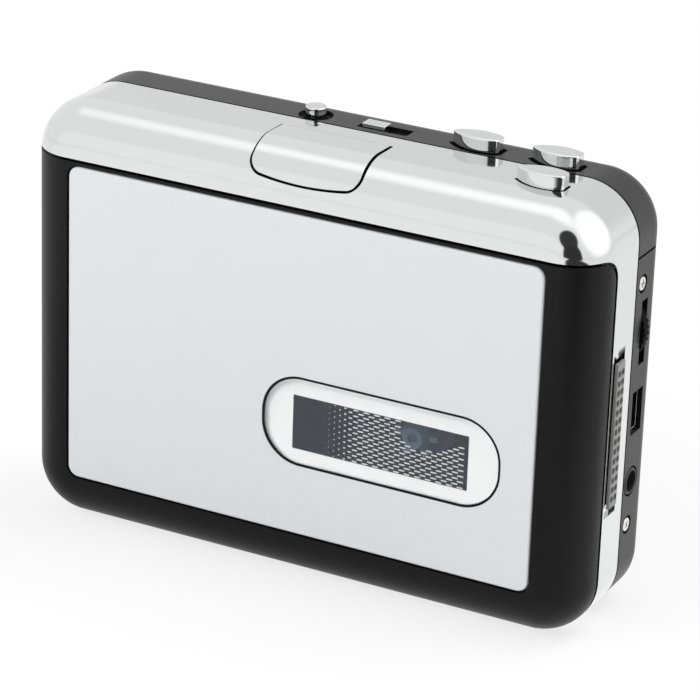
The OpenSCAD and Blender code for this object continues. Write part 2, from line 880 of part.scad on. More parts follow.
module capstan_bushes() color("#b08d4a") stand() {
    for (side = [-1, 1]) difference() {
        rod([side * hub_x, capstan_y], floor_front - bush_proud, gear_front - slim_gap, bush_r);
        rod([side * hub_x, capstan_y], floor_front - over, plate_back + over, capstan_r + shaft_gap);
    }
}

module reel_posts() color("#c2c5c9") stand() {
    for (side = [-1, 1])
        rod([side * hub_x, hub_y], spindle_tip + post_tip, gear_back + post_grip - post_end, post_r);
    rod([hub_x, idler_y], plate_front, gear_back + post_end, post_r);
}

module deck_screws() color("#a6a9ad") stand() {
    for (at = columns) {
        rod(at, floor_front - screw_head_t, floor_front, screw_head_r);
        rod(at, floor_front, plate_back + screw_grip, screw_r);
    }
    for (at = bridge_points) {
        rod(at, bridge_back, bridge_back + screw_head_t, screw_head_r);
        rod(at, bridge_front - screw_bite, bridge_back, screw_r);
    }
}

module case_screws() color("#c9ccd0") stand() {
    for (side = [0, 1], y = screws_at) mirror([side, 0, 0]) {
        bar(y, side_screw_depth, half_w - side_recess, half_w - nose_sink, side_head_r);
        bar(y, side_screw_depth, tab_in, half_w - side_recess, side_shank_r);
    }
}

module hinge_pin() color("#c2c5c9") stand() {
    pole(hinge_x, lid_depth, hinge_pin_low + slim_gap, hinge_pin_high - slim_gap, hinge_pin_r);
}

module motor() color("#9fa2a6") stand() {
    difference() {
        union() {
            rod([motor_x, motor_y], bridge_back, bridge_back + motor_l, motor_r);
            rod([motor_x, motor_y], bridge_front + slim_gap, bridge_back, motor_boss_r);
        }
        rod([motor_x, motor_y], bridge_front - over, bridge_back + motor_shaft_l + run_gap,
            motor_shaft_r + shaft_gap);
    }
}

module drive_belt() color("#151515") stand() {
    slab(belt_mid - belt_w / 2, belt_mid + belt_w / 2) difference() {
        polygon(belt_edge(belt_t / 2));
        polygon(belt_edge(-belt_t / 2));
    }
}

module circuit_board() color("#2e6b3f") stand() {
    slab(board_front, board_back) difference() {
        translate([board_left, deck_low + run_gap])
            square([side_inner - board_side - board_left, board_high - deck_low - run_gap]);
        translate([hub_x, hub_y]) circle(column_r + board_column_gap);
        translate(columns[1]) circle(column_r + board_column_gap);
    }
}

module board_parts() color("#26282b") stand() {
    for (chip = chips) block(chip[0], chip[1], [board_front - chip[2], board_front]);
    for (at = cans) rod(at, board_front - can_l, board_front, can_r);
}

module usb_socket() color("#c9ccd0") stand() {
    near = board_front - usb_short;
    difference() {
        block([half_w - usb_reach, half_w - usb_sink], span(usb_at, usb_long / 2), [near, board_front]);
        block([half_w - usb_reach + usb_back, half_w + over], span(usb_at, usb_long / 2 - usb_shell),
            [near + usb_shell, board_front - usb_shell]);
    }
    block([half_w - usb_reach + usb_back / 2, half_w - usb_tongue_sink], span(usb_at, usb_long / 4),
        span(board_front - usb_short / 2, usb_tongue_half));
}

module headphone_jack() color("#1d1d1f") stand() {
    difference() {
        union() {
            block(jack_block, span(jack_at, jack_body / 2), span(jack_depth, jack_body / 2));
            bar(jack_at, jack_depth, jack_block[1] - nose_sink, half_w - nose_sink, jack_nose_r);
        }
        bar(jack_at, jack_depth, half_w - nose_sink - jack_bore_l, half_w + over, jack_bore_r);
    }
}

module volume_pot() color("#38393c") stand() {
    at = [volume_x, volume_at];
    rod(at, volume_back + slip, board_front, pot_body_r);
    rod(at, volume_front - pot_cap_t, board_front, pot_r);
    rod(at, volume_front - pot_cap_t, volume_front - slip, pot_cap_r);
}

module mode_switch() color("#55585c") stand() {
    difference() {
        block([mode_at - mode_body_side, mode_at + mode_len + mode_travel + mode_body_side],
            [top_inner - mode_body_h, top_inner], span(rear_key_depth, mode_body_half));
        mode_stem_way(mode_stem_low - slip, top_inner + over);
    }
}

// The slot that the mode knob's stem runs along, between two heights
module mode_stem_way(low, high) {
    mid = mode_at + mode_end + mode_len / 2;
    block([mid - mode_stem_half - slider_room, mid + mode_travel + mode_stem_half + slider_room], [low, high],
        span(rear_key_depth, mode_stem_half + slider_room));
}

module battery_tray() color("#202023") stand() {
    intersection() {
        envelope(wall + slim_gap);
        difference() {
            block(tray_half_w * [-1, 1], span(cell_y, tray_half_h), [tray_front, body_d]);
            block(bay_half_w * [-1, 1], span(cell_y, tray_half_h - tray_t),
                [tray_front + tray_t, 2 * body_d]);
        }
    }
}

module battery_contacts() color("#c9ccd0") stand() {
    for (side = [0, 1]) mirror([side, 0, 0])
        block([bay_half_w - contact_t, bay_half_w], span(cell_y, contact_half),
            span(cell_depth, contact_half));
}

module battery_spring() color("#c9ccd0") stand() {
    low = contact_t - bay_half_w;
    translate([0, cell_y, 0]) rotate([0, 0, -90])
        coil(0, cell_depth, low, low + battery_coil_l, battery_coil_r, battery_wire, battery_turns);
}

module key_rail() color("#b0b3b7") stand() {
    rail_back = rear_key_depth + rail_margin;
    shelf_front = stop_depth - coil_r - over;
    difference() {
        upright(rail_low, rail_top) {
            translate([direction_at - rail_side, behind(rail_back)])
                square([stop_at + shelf_half - direction_at + rail_side, rail_back - plate_front]);
            translate([stop_at - shelf_half, behind(plate_front)])
                square([2 * shelf_half, plate_front - shelf_front]);
        }
        for (x = [rewind_at, forward_at, direction_at])
            pole(x, rear_key_depth, rail_low - over, rail_top + over, stem_r + run_gap);
        pole(stop_at, stop_depth, rail_low - over, rail_top + over, stem_r + run_gap);
    }
}

module lid_shell() color("#1f1f21") stand() {
    catch_out = side_inner - nose_sink;
    difference() {
        union() {
            difference() {
                intersection() {
                    envelope(0);
                    across(2 * body_w) lid_side(seam / 2);
                }
                envelope(wall);
                block([-body_w, hinge_x + barrel_r + barrel_gap], [-body_h, barrel_y - slim_gap],
                    [lid_depth - barrel_r - barrel_gap, body_d]);
            }
            pole(hinge_x, lid_depth, barrel_y, barrel_top, barrel_r);
            block([catch_out - catch_t, side_inner + wall / 4], from(catch_y, catch_h),
                [lid_depth - catch_reach, lid_depth - 2 * seam]);
            block([catch_out - catch_t, catch_out], from(catch_y, catch_h),
                [lid_depth - catch_reach, lid_depth + catch_tip]);
        }
        slab(-over, panel_t) panel_outline(panel_gap);
        slab(-over, lens_t + print_t) lens_outline(panel_gap);
        slab(-over, 2 * wall) view_outline();
        pole(hinge_x, lid_depth, -over, body_h, hinge_pin_r + shaft_gap);
    }
}

module lid_panel() color("#d9dbde") stand() {
    slab(0, panel_t) difference() {
        panel_outline(0);
        lens_outline(panel_gap);
    }
}

module window_lens() color("#e8ecf0", 0.4) stand() {
    slab(0, lens_t) lens_outline(0);
}

module window_print() color("#f2f2f2") stand() {
    slab(lens_t, lens_t + print_t) difference() {
        lens_outline(0);
        view_outline();
    }
}

module cassette_springs() color("#c2c5c9") stand() {
    for (side = [-1, 1]) translate([side * arch_at[0], arch_at[1], 0]) across(arch_w) intersection() {
        translate([behind(wall) + arch_r - arch_rise, 0]) difference() {
            circle(arch_r, $fn = 128);
            circle(arch_r - arch_t, $fn = 128);
        }
        translate([behind(wall) - 2 * arch_rise, -arch_r / 2]) square([2 * arch_rise, arch_r]);
    }
}

module play_key() color("#e2e4e6") stand() {
    intersection() {
        difference() {
            envelope(-play_proud);
            envelope(play_t - play_proud);
        }
        play_way() play_outline(0);
    }
}

// An oval key with the flange that keeps it in and the stem that guides it
module oval_key(x, depth) {
    upright(flange_top, body_h + key_tall) oval_plan(x, depth, 0);
    upright(flange_low, flange_top) oval_plan(x, depth, flange_grow);
    pole(x, depth, stem_low, flange_low, stem_r);
}

module stop_key() color("#e2e4e6") stand() {
    oval_key(stop_at, stop_depth);
}

module rewind_key() color("#e2e4e6") stand() {
    oval_key(rewind_at, rear_key_depth);
}

module forward_key() color("#e2e4e6") stand() {
    oval_key(forward_at, rear_key_depth);
}

module direction_button() color("#e2e4e6") stand() {
    neck = body_h + direction_tall - direction_lip_t;
    pole(direction_at, rear_key_depth, flange_top, neck, direction_r);
    pole(direction_at, rear_key_depth, neck, body_h + direction_tall, direction_r + direction_lip);
    pole(direction_at, rear_key_depth, flange_low, flange_top, direction_r + flange_grow);
    pole(direction_at, rear_key_depth, stem_low, flange_low, stem_r);
}

module mode_knob() color("#d2d4d7") stand() {
    left = mode_at + mode_end;
    mid = left + mode_len / 2;
    top = body_h + mode_tall;
    rib = mode_len / (2 * mode_rib_count - 1);
    block(from(left, mode_len), [body_h - dish + slip, top - mode_rib], span(rear_key_depth, mode_wide / 2));
    for (i = [0:mode_rib_count - 1])
        block(from(left + 2 * i * rib, rib), [top - 2 * mode_rib, top], span(rear_key_depth, mode_wide / 2));
    block(span(mid, mode_stem_half), [mode_stem_low, body_h], span(rear_key_depth, mode_stem_half));
}

module open_slider() color("#77797c") stand() {
    face = half_w + slider_proud;
    pitch = slider_l / slider_ribs;
    block([half_w - slider_sink, face - slider_rib], [slider_at, slider_at + slider_l],
        span(slider_depth, slider_wide / 2));
    for (i = [0:slider_ribs - 1])
        block([face - 2 * slider_rib, face], span(slider_at + pitch * (i + 0.5), pitch / 4),
            span(slider_depth, slider_wide / 2));
    block([slider_foot[0], half_w], slider_stem, span(slider_depth, slider_stem_half));
    block(slider_foot, slider_stem + slider_foot_over * [-1, 1], span(slider_depth, slider_foot_half));
    block(slider_foot, [slider_stem[1], catch_y - slider_travel - latch_gap],
        from(slider_depth - slider_foot_half, latch_t));
}

module volume_wheel() color("#2b2b2e") stand() {
    slab(volume_front, volume_back) translate([volume_x, volume_at]) difference() {
        polygon([for (i = [0:4 * volume_notches - 1])
            let (a = 90 * i / volume_notches, r = volume_r - (i % 4 < 2 ? 0 : volume_notch))
            r * [cos(a), sin(a)]]);
        circle(pot_r + shaft_gap);
    }
}

module door_outline(grow) {
    translate([0, cell_y]) soft_square(2 * (bay_half_w + grow), 2 * (door_half_h + grow), door_corner_r);
}

module battery_door() color("#242427") stand() {
    intersection() {
        envelope(0);
        slab(body_d - door_t, 2 * body_d) door_outline(0);
    }
}

module key_coil(x, depth) {
    coil(x, depth, rail_top, flange_low, coil_r, coil_wire, coil_turns);
}

module stop_spring() color("#c2c5c9") stand() {
    key_coil(stop_at, stop_depth);
}

module rewind_spring() color("#c2c5c9") stand() {
    key_coil(rewind_at, rear_key_depth);
}

module forward_spring() color("#c2c5c9") stand() {
    key_coil(forward_at, rear_key_depth);
}

module direction_spring() color("#c2c5c9") stand() {
    key_coil(direction_at, rear_key_depth);
}

module head_spring() color("#c2c5c9") stand() {
    coil(head_spring_x, head_spring_depth, head_ledge_y, head_tab_y, head_spring_r, head_wire, head_turns);
}

module head_plate() color("#bcbfc3") stand() {
    slab(head_front, head_back) translate([-head_plate_half, head_plate_low])
        square([2 * head_plate_half, head_plate_high - head_plate_low]);
    block([head_spring_x - head_tab_half, over - head_plate_half], from(head_tab_y, head_tab_t),
        [head_spring_depth - head_tab_lip, head_back]);
}

module tape_head() color("#c9ccd0") stand() {
    slab(cassette_back - head_reach, head_front) intersection() {
        translate([-head_w / 2, head_low]) square([head_w, head_h]);
        translate([0, head_low + head_nose_r]) circle(head_nose_r);
    }
}

module pinch_arms() color("#aeb1b5") stand() {
    for (side = [-1, 1]) {
        block(span(side * hub_x, pinch_arm_half_w), span(pinch_y, pinch_arm_half_h),
            [head_front - pinch_arm_t, head_front]);
        rod([side * hub_x, pinch_y], roller_front - pinch_pin_over, head_front - pinch_arm_t / 2, pinch_pin_r);
    }
}

module pinch_roller(side) {
    slab(roller_front, roller_back) translate([side * hub_x, pinch_y]) difference() {
        circle(pinch_r);
        circle(pinch_pin_r + shaft_gap);
    }
}

module left_pinch_roller() color("#1a1a1b") stand() {
    pinch_roller(-1);
}

module right_pinch_roller() color("#1a1a1b") stand() {
    pinch_roller(1);
}

module capstan(side) {
    rod([side * hub_x, capstan_y], cassette_back - capstan_reach, bridge_back - slim_gap, capstan_r);
}

// A flywheel with its belt groove
module flywheel(side) {
    at = [side * hub_x, capstan_y];
    difference() {
        union() {
            rod(at, fly_front, fly_back, groove_r);
            rod(at, fly_front, belt_mid - groove_half, flywheel_r);
            rod(at, belt_mid + groove_half, fly_back, flywheel_r);
        }
        rod(at, fly_front - over, fly_back + over, capstan_r + press_gap);
    }
}

module left_capstan() color("#c9ccd0") stand() {
    capstan(-1);
}

module left_flywheel() color("#b08d4a") stand() {
    flywheel(-1);
}

module right_capstan() color("#c9ccd0") stand() {
    capstan(1);
}

module right_flywheel() color("#b08d4a") stand() {
    flywheel(1);
}

module drive_pinion() color("#e6e3d8") stand() {
    gear([hub_x, capstan_y], pinion_teeth, 270, capstan_r + press_gap);
}

module motor_pulley() color("#b08d4a") stand() {
    at = [motor_x, motor_y];
    rod(at, fly_front, fly_back, pulley_r);
    rod(at, fly_front, belt_mid - groove_half, pulley_r + pulley_lip);
    rod(at, belt_mid + groove_half, fly_back, pulley_r + pulley_lip);
    rod(at, belt_mid + groove_half, bridge_back + motor_shaft_l, motor_shaft_r);
}

module idler_gear() color("#e6e3d8") stand() {
    gear([hub_x, idler_y], idler_teeth, 90 + 180 / idler_teeth, post_r + shaft_gap);
}

// A spindle with fins that turn a cassette's hub, and a sleeve down to its gear
module spindle(side) {
    at = [side * hub_x, hub_y];
    core_r = spindle_r - spindle_core;
    shoulder = spindle_tip + spindle_nose;
    foot = thin_back + cassette_room;
    difference() {
        union() {
            translate([at[0], at[1], behind(shoulder)])
                cylinder(r1 = core_r, r2 = core_r - spindle_nose_in, h = spindle_nose);
            rod(at, shoulder, foot, core_r);
            rod(at, foot, foot + spindle_foot_t, spindle_r + spindle_brim);
            rod(at, foot, gear_back, sleeve_r);
            for (a = [0:60:300]) translate(at) rotate([0, 0, a])
                block([0, spindle_r], spindle_fin_half * [-1, 1], [shoulder, foot]);
        }
        rod(at, spindle_tip - over, gear_back + over, post_r + shaft_gap);
    }
}

module supply_spindle() color("#e6e3d8") stand() {
    spindle(-1);
}

module supply_gear() color("#e6e3d8") stand() {
    gear([-hub_x, hub_y], reel_teeth, 90, sleeve_r + press_gap);
}

module takeup_spindle() color("#e6e3d8") stand() {
    spindle(1);
}

module takeup_gear() color("#e6e3d8") stand() {
    gear([hub_x, hub_y], reel_teeth, 90, sleeve_r + press_gap);
}

rear_case();
top_panel();
chrome_bezel();
well_floor();
deck_plate();
bridge_plate();
bridge_posts();
capstan_bushes();
reel_posts();
deck_screws();
case_screws();
hinge_pin();
motor();
drive_belt();
circuit_board();
board_parts();
usb_socket();
headphone_jack();
volume_pot();
mode_switch();
battery_tray();
battery_contacts();
battery_spring();
key_rail();
lid_shell();
lid_panel();
window_lens();
window_print();
cassette_springs();
play_key();
stop_key();
rewind_key();
forward_key();
direction_button();
mode_knob();
open_slider();
volume_wheel();
battery_door();
stop_spring();
rewind_spring();
forward_spring();
direction_spring();
head_spring();
head_plate();
tape_head();
pinch_arms();
left_pinch_roller();
right_pinch_roller();
left_capstan();
left_flywheel();
right_capstan();
right_flywheel();
drive_pinion();
motor_pulley();
idler_gear();
supply_spindle();
supply_gear();
takeup_spindle();
takeup_gear();
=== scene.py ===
"""A pocket cassette player with a USB outlet, dressed over its CAD frame and set in a white studio."""
from math import asin, cos, pi, radians, sin, sqrt

import bmesh
import bpy
from mathutils import Matrix, Quaternion, Vector


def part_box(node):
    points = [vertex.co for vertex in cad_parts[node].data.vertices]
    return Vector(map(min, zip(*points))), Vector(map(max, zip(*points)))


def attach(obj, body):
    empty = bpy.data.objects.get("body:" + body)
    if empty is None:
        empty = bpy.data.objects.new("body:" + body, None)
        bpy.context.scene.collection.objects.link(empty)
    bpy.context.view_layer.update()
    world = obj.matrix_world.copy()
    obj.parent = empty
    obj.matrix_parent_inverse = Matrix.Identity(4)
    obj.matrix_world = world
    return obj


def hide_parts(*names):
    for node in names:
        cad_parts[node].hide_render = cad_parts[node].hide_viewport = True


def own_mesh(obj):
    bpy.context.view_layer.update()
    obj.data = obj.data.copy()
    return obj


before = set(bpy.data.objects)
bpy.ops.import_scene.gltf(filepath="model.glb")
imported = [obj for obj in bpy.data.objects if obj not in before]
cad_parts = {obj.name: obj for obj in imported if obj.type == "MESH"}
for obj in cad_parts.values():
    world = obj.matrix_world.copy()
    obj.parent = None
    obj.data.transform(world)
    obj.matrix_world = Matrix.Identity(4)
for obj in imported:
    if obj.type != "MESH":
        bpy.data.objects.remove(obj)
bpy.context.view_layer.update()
scene = bpy.context.scene
MM = 0.001

# The camera stands off to the right and a little above the player, on a long lens.
# It is tipped by two degrees, so the player leans to the right in the picture.
aim = Vector((3.23, 0, 40.97)) * MM
azimuth = radians(27.15)
elevation = radians(22.69)
tip = radians(2.01)
distance = 646.8 * MM
level = Vector((sin(azimuth), -cos(azimuth), 0))
away = level * cos(elevation) + Vector((0, 0, sin(elevation)))
lens = bpy.data.cameras.new("camera")
lens.lens = 183.67
lens.sensor_width = 36
lens.clip_end = 10
camera = bpy.data.objects.new("camera", lens)
camera.location = aim + away * distance
camera.rotation_mode = "QUATERNION"
camera.rotation_quaternion = (-away).to_track_quat("-Z", "Y") @ Quaternion((0, 0, 1), tip)
scene.collection.objects.link(camera)
scene.camera = camera

# The rear shell is a black moulding of ABS with a fine spark-eroded grain.
# It carries the sockets, the wheel's slot and the battery opening, and screws to the chrome frame.
body_w = 114
body_h = 82
body_d = 30
corner_r = 10.4
front_r = 8.5
rear_r = 5.5
wall = 2
side = body_w / 2
back = body_d / 2
corner_steps = 24
edge_steps = 20
edge_clearance = 0.001
weld = 0.0005
gloss_vary = 0.15


def extent(node):
    """A CAD node's lowest and highest corner, in millimetres."""
    return tuple(Vector(corner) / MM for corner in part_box(node))


def form_box(low, high):
    """A closed box between two corners."""
    low, high = Vector(low), Vector(high)
    form = bmesh.new()
    bmesh.ops.create_cube(form, size=1)
    bmesh.ops.scale(form, vec=high - low, verts=form.verts)
    bmesh.ops.translate(form, vec=(low + high) / 2, verts=form.verts)
    return form


def form_rod(start, end, radius, sides=48):
    """A closed round bar between two points."""
    start, end = Vector(start), Vector(end)
    along = end - start
    place = Matrix.Translation((start + end) / 2) @ along.to_track_quat("Z", "Y").to_matrix().to_4x4()
    form = bmesh.new()
    bmesh.ops.create_cone(form, cap_ends=True, segments=sides, radius1=radius, radius2=radius,
                          depth=along.length, matrix=place)
    return form


def round_edges(form, edges, radius, steps):
    """Rounds edges of a form to a radius."""
    bmesh.ops.bevel(form, geom=edges, offset=radius, offset_type="OFFSET", segments=steps, profile=0.5,
                    affect="EDGES", material=-1)


def on_plane(edge, axis, value):
    """Whether both ends of an edge lie at a value of an axis."""
    return all(abs(vert.co[axis] - value) < edge_clearance for vert in edge.verts)


def rounded_body(inset):
    """The whole body's outer form, drawn in by an inset."""
    half_x, half_y = side - inset, back - inset
    form = form_box((-half_x, -half_y, inset), (half_x, half_y, body_h - inset))
    corners = [e for e in form.edges if abs(e.verts[0].co.y - e.verts[1].co.y) > half_y]
    round_edges(form, corners, corner_r - inset, corner_steps)
    for y, radius in ((-half_y, front_r), (half_y, rear_r)):
        round_edges(form, [e for e in form.edges if on_plane(e, 1, y)], radius - inset, edge_steps)
    return form


def as_object(form, name="form"):
    """A form as an object of the scene."""
    mesh = bpy.data.meshes.new(name)
    form.to_mesh(mesh)
    form.free()
    obj = bpy.data.objects.new(name, mesh)
    scene.collection.objects.link(obj)
    return obj


def carve(form, tools, operation="DIFFERENCE"):
    """A form with closed tools cut out of it, or kept to them, one after the other."""
    block = as_object(form)
    spent = [block]
    for tool in tools:
        cutter = as_object(tool)
        cut = block.modifiers.new("cut", "BOOLEAN")
        cut.operation = operation
        cut.solver = "EXACT"
        cut.object = cutter
        spent.append(cutter)
    result = bmesh.new()
    result.from_object(block, bpy.context.evaluated_depsgraph_get())
    for obj in spent:
        bpy.data.meshes.remove(obj.data)
    bmesh.ops.remove_doubles(result, verts=result.verts, dist=weld)
    bmesh.ops.dissolve_degenerate(result, edges=result.edges, dist=weld)
    return result


def add(form, *others):
    """Puts the meshes of other forms into a form."""
    for other in others:
        mesh = bpy.data.meshes.new("form")
        other.to_mesh(mesh)
        other.free()
        form.from_mesh(mesh)
        bpy.data.meshes.remove(mesh)
    return form


def finish(name, colour, roughness, grain=0.4, bump=0.01, vary=0.12, stretch=(1, 1, 1), **sockets):
    """A finish whose colour, gloss and relief vary with a noise of that grain, in millimetres."""
    material = bpy.data.materials.new(name)
    material.use_nodes = True
    nodes, links = material.node_tree.nodes, material.node_tree.links
    shader = nodes["Principled BSDF"]
    for socket, value in sockets.items():
        shader.inputs[socket.replace("_", " ")].default_value = value
    coordinates = nodes.new("ShaderNodeTexCoord")
    mapping = nodes.new("ShaderNodeMapping")
    mapping.inputs["Scale"].default_value = stretch
    noise = nodes.new("ShaderNodeTexNoise")
    noise.inputs["Scale"].default_value = 1 / (grain * MM)
    noise.inputs["Detail"].default_value = 5
    tint = nodes.new("ShaderNodeMix")
    tint.data_type = "RGBA"
    tint.inputs["A"].default_value = (*[c * (1 - vary) for c in colour], 1)
    tint.inputs["B"].default_value = (*[min(1, c * (1 + vary)) for c in colour], 1)
    gloss = nodes.new("ShaderNodeMapRange")
    gloss.inputs["To Min"].default_value = roughness * (1 - gloss_vary)
    gloss.inputs["To Max"].default_value = roughness * (1 + gloss_vary)
    relief = nodes.new("ShaderNodeBump")
    relief.inputs["Strength"].default_value = 1
    relief.inputs["Distance"].default_value = bump * MM
    links.new(coordinates.outputs["Object"], mapping.inputs["Vector"])
    links.new(mapping.outputs["Vector"], noise.inputs["Vector"])
    links.new(noise.outputs["Fac"], tint.inputs["Factor"])
    links.new(noise.outputs["Fac"], gloss.inputs["Value"])
    links.new(noise.outputs["Fac"], relief.inputs["Height"])
    links.new(tint.outputs["Result"], shader.inputs["Base Color"])
    links.new(gloss.outputs["Result"], shader.inputs["Roughness"])
    links.new(relief.outputs["Normal"], shader.inputs["Normal"])
    return material


def piece(name, form, material, body, slot, *nodes, soft=0.0, crease=35, second=None):
    """Makes a form in millimetres a named object in metres that rides on a body and stands for CAD nodes."""
    bmesh.ops.scale(form, vec=(MM, MM, MM), verts=form.verts)
    for face in form.faces:
        face.smooth = True
    for edge in form.edges:
        edge.smooth = len(edge.link_faces) == 2 and edge.calc_face_angle() < radians(crease)
    obj = as_object(form, name)
    obj.data.materials.append(material)
    if second:
        obj.data.materials.append(second)
    if soft:
        rounding = obj.modifiers.new("rounding", "BEVEL")
        rounding.width = soft * MM
        rounding.segments = 2
        rounding.limit_method = "ANGLE"
        rounding.angle_limit = radians(50)
        rounding.use_clamp_overlap = True
    shading = obj.modifiers.new("shading", "WEIGHTED_NORMAL")
    shading.keep_sharp = True
    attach(obj, body)
    if nodes:
        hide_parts(*nodes)
    return obj


band_rear = 2.65
half_seam = 0.45
top_seam = extent("rear_case")[1].z
reach = 2 * body_w
screw_y = 5.75
screw_heights = (17.2, 63.5)
screw_recess_r = 1.75
screw_recess = 0.9
screw_hole_r = 1
jack_low, jack_high = extent("headphone_jack")
jack_y = (jack_low.y + jack_high.y) / 2
jack_z = (jack_low.z + jack_high.z) / 2
jack_hole_r = 2.85
usb_low, usb_high = extent("usb_socket")
usb_room = 0.25
wheel_low, wheel_high = extent("volume_wheel")
wheel_room = 0.25
wheel_slot = (47.9, 60.1)
door_low, door_high = extent("battery_door")
door_gap = 0.2
door_ledge = 1
hub_x = 21.25
hub_z = 31.4
boss_r = 2
boss_sides = 24
boss_front = 9.9
bosses = [(-50, 24.2), (48.5, 31.8), (-50, 65), (50, 65), (14, 26), (14, 57), (38, 57),
          (-hub_x, hub_z), (hub_x, hub_z)]

rear_zone = form_box((-reach, band_rear + half_seam, -reach), (reach, reach, top_seam))
rear_cuts = [rounded_body(wall)]
for sign in (-1, 1):
    for z in screw_heights:
        outside = (sign * reach, screw_y, z)
        rear_cuts.append(form_rod((sign * (side - screw_recess), screw_y, z), outside, screw_recess_r))
        rear_cuts.append(form_rod((sign * (side - 2 * wall), screw_y, z), outside, screw_hole_r))
rear_cuts += [
    form_rod((side - 2 * wall, jack_y, jack_z), (reach, jack_y, jack_z), jack_hole_r),
    form_box((side - 2 * wall, usb_low.y - usb_room, usb_low.z - usb_room),
             (reach, usb_high.y + usb_room, usb_high.z + usb_room)),
    form_box((side - 2 * wall, wheel_low.y - wheel_room, wheel_slot[0]),
             (reach, wheel_high.y + wheel_room, wheel_slot[1])),
    form_box((door_low.x - door_gap, door_low.y, door_low.z - door_gap),
             (door_high.x + door_gap, reach, door_high.z + door_gap)),
    form_box((door_low.x + door_ledge, back - 2 * wall, door_low.z + door_ledge),
             (door_high.x - door_ledge, reach, door_high.z - door_ledge)),
]
rear_shell = carve(carve(rounded_body(0), [rear_zone], "INTERSECT"), rear_cuts)
for x, z in bosses:
    add(rear_shell, form_rod((x, boss_front, z), (x, back - wall / 2, z), boss_r, boss_sides))
rear_black = finish("rear black", (0.01, 0.01, 0.0104), 0.42, grain=0.25, bump=0.012, Specular_IOR_Level=0.44)
# Painted shade: a matt black, darker than the mouldings, for faces in seams, gaps and hollows where shade
# falls, on the shells, the play key, the slider's foot and inside the USB shell.
painted_shade_black = finish("painted shade black", (0.006, 0.006, 0.0062), 0.55, grain=0.3, bump=0.008,
                    Specular_IOR_Level=0.1)


def darken(form, facing, least):
    """Marks the faces of a form that look more than so much along a direction for its second material, the
    painted shade.
    """
    form.normal_update()
    for face in form.faces:
        face.material_index = int(face.normal.dot(facing) > least)


to_front = Vector((0, -1, 0))
nearly_square = 0.9
# Faces of the rear shell that face the front, at the seam, in the hollows and inside, take the matt darker
# black as painted shade.
darken(rear_shell, to_front, nearly_square)
piece("rear_shell", rear_shell, rear_black, "body", "rear_black", "rear_case", soft=0.18, second=painted_shade_black)

# The top cover closes the rear half over the keys. It is moulded from the same black ABS,
# with a sunk ring round each key, a dish round the button and a slot for the mode knob.
key_tip = 4.9
key_heel = 4.55
key_leaf = 11.3
key_heel_r = 0.45
key_wide = 4.6
key_gap = 0.3
ring_wide = 0.6
ring_deep = 0.7
stop_at = (41.4, -4.6)
rewind_at = (23.9, 6.1)
forward_at = (39.3, 6.1)
button_at = (-8.4, 6.1)
button_r = 2
dish_r = 3.2
dish_deep = 0.8
mode_slot = ((0.6, 4.5), (10.6, 7.7))
mode_stem_slot = ((2.45, 5.15), (8.75, 7.05))
heel_clear = 1.3 * key_heel_r
heel_steps = 5
arc_steps = 18


def round_corners(form, verts, radius, steps):
    """Rounds corners of a flat form to a radius."""
    bmesh.ops.bevel(form, geom=verts, offset=radius, offset_type="OFFSET", segments=steps, profile=0.5,
                    affect="VERTICES", material=-1)


def push(form, faces, way):
    """Draws faces of a form out along a way."""
    drawn = bmesh.ops.extrude_face_region(form, geom=faces)["geom"]
    bmesh.ops.translate(form, vec=way, verts=[v for v in drawn if isinstance(v, bmesh.types.BMVert)])


def oval(at, grow, low, high):
    """An upright key form, pointed on the left and cut blunt on the right, grown by a gap."""
    half = key_wide / 2
    leaf_half = key_leaf / 2
    middle = at[0] - key_tip + leaf_half
    arc_r = (leaf_half * leaf_half + half * half) / key_wide
    swing = arc_r + grow
    rise = arc_r - half
    tip_x = sqrt(swing * swing - rise * rise)
    form = bmesh.new()
    for sign in (-1, 1):
        start = form.verts.new((middle - tip_x, at[1], low))
        bmesh.ops.spin(form, geom=[start], cent=(middle, at[1] - sign * rise, low), axis=(0, 0, -sign),
                       angle=2 * asin(tip_x / swing), steps=arc_steps)
    bmesh.ops.remove_doubles(form, verts=form.verts, dist=edge_clearance)
    bmesh.ops.contextual_create(form, geom=form.edges)
    heel = at[0] + key_heel + grow
    bmesh.ops.bisect_plane(form, geom=form.verts[:] + form.edges[:] + form.faces[:], plane_co=(heel, 0, 0),
                           plane_no=(1, 0, 0), clear_outer=True)
    crowded = [v for v in form.verts if heel - heel_clear < v.co.x < heel - edge_clearance]
    bmesh.ops.dissolve_verts(form, verts=crowded)
    round_corners(form, [v for v in form.verts if v.co.x > heel - edge_clearance], key_heel_r, heel_steps)
    push(form, form.faces[:], (0, 0, high - low))
    bmesh.ops.recalc_face_normals(form, faces=form.faces)
    return form


cover_zone = form_box((-reach, band_rear + half_seam, top_seam + half_seam), (reach, reach, reach))
cover_cuts = [rounded_body(wall)]
for at in (rewind_at, forward_at):
    cover_cuts.append(oval(at, key_gap, top_seam, 2 * body_h))
    cover_cuts.append(oval(at, ring_wide, body_h - ring_deep, 2 * body_h))
cover_cuts += [
    form_rod((*button_at, top_seam), (*button_at, 2 * body_h), button_r + key_gap),
    form_rod((*button_at, body_h - dish_deep), (*button_at, 2 * body_h), dish_r),
    form_box((*mode_slot[0], body_h - dish_deep), (*mode_slot[1], 2 * body_h)),
    form_box((*mode_stem_slot[0], top_seam), (*mode_stem_slot[1], 2 * body_h)),
]
top_cover = carve(carve(rounded_body(0), [cover_zone], "INTERSECT"), cover_cuts)
cover_black = finish("cover black", (0.013, 0.013, 0.0134), 0.4, grain=0.25, bump=0.012,
                     Specular_IOR_Level=0.44)
# Faces of the top cover that face the front, at the seam and on the far walls of the key holes, rings, dish
# and slots, take the matt darker black as painted shade.
darken(top_cover, to_front, nearly_square)
piece("top_cover", top_cover, cover_black, "body", "rear_black", "top_panel", soft=0.15, second=painted_shade_black)

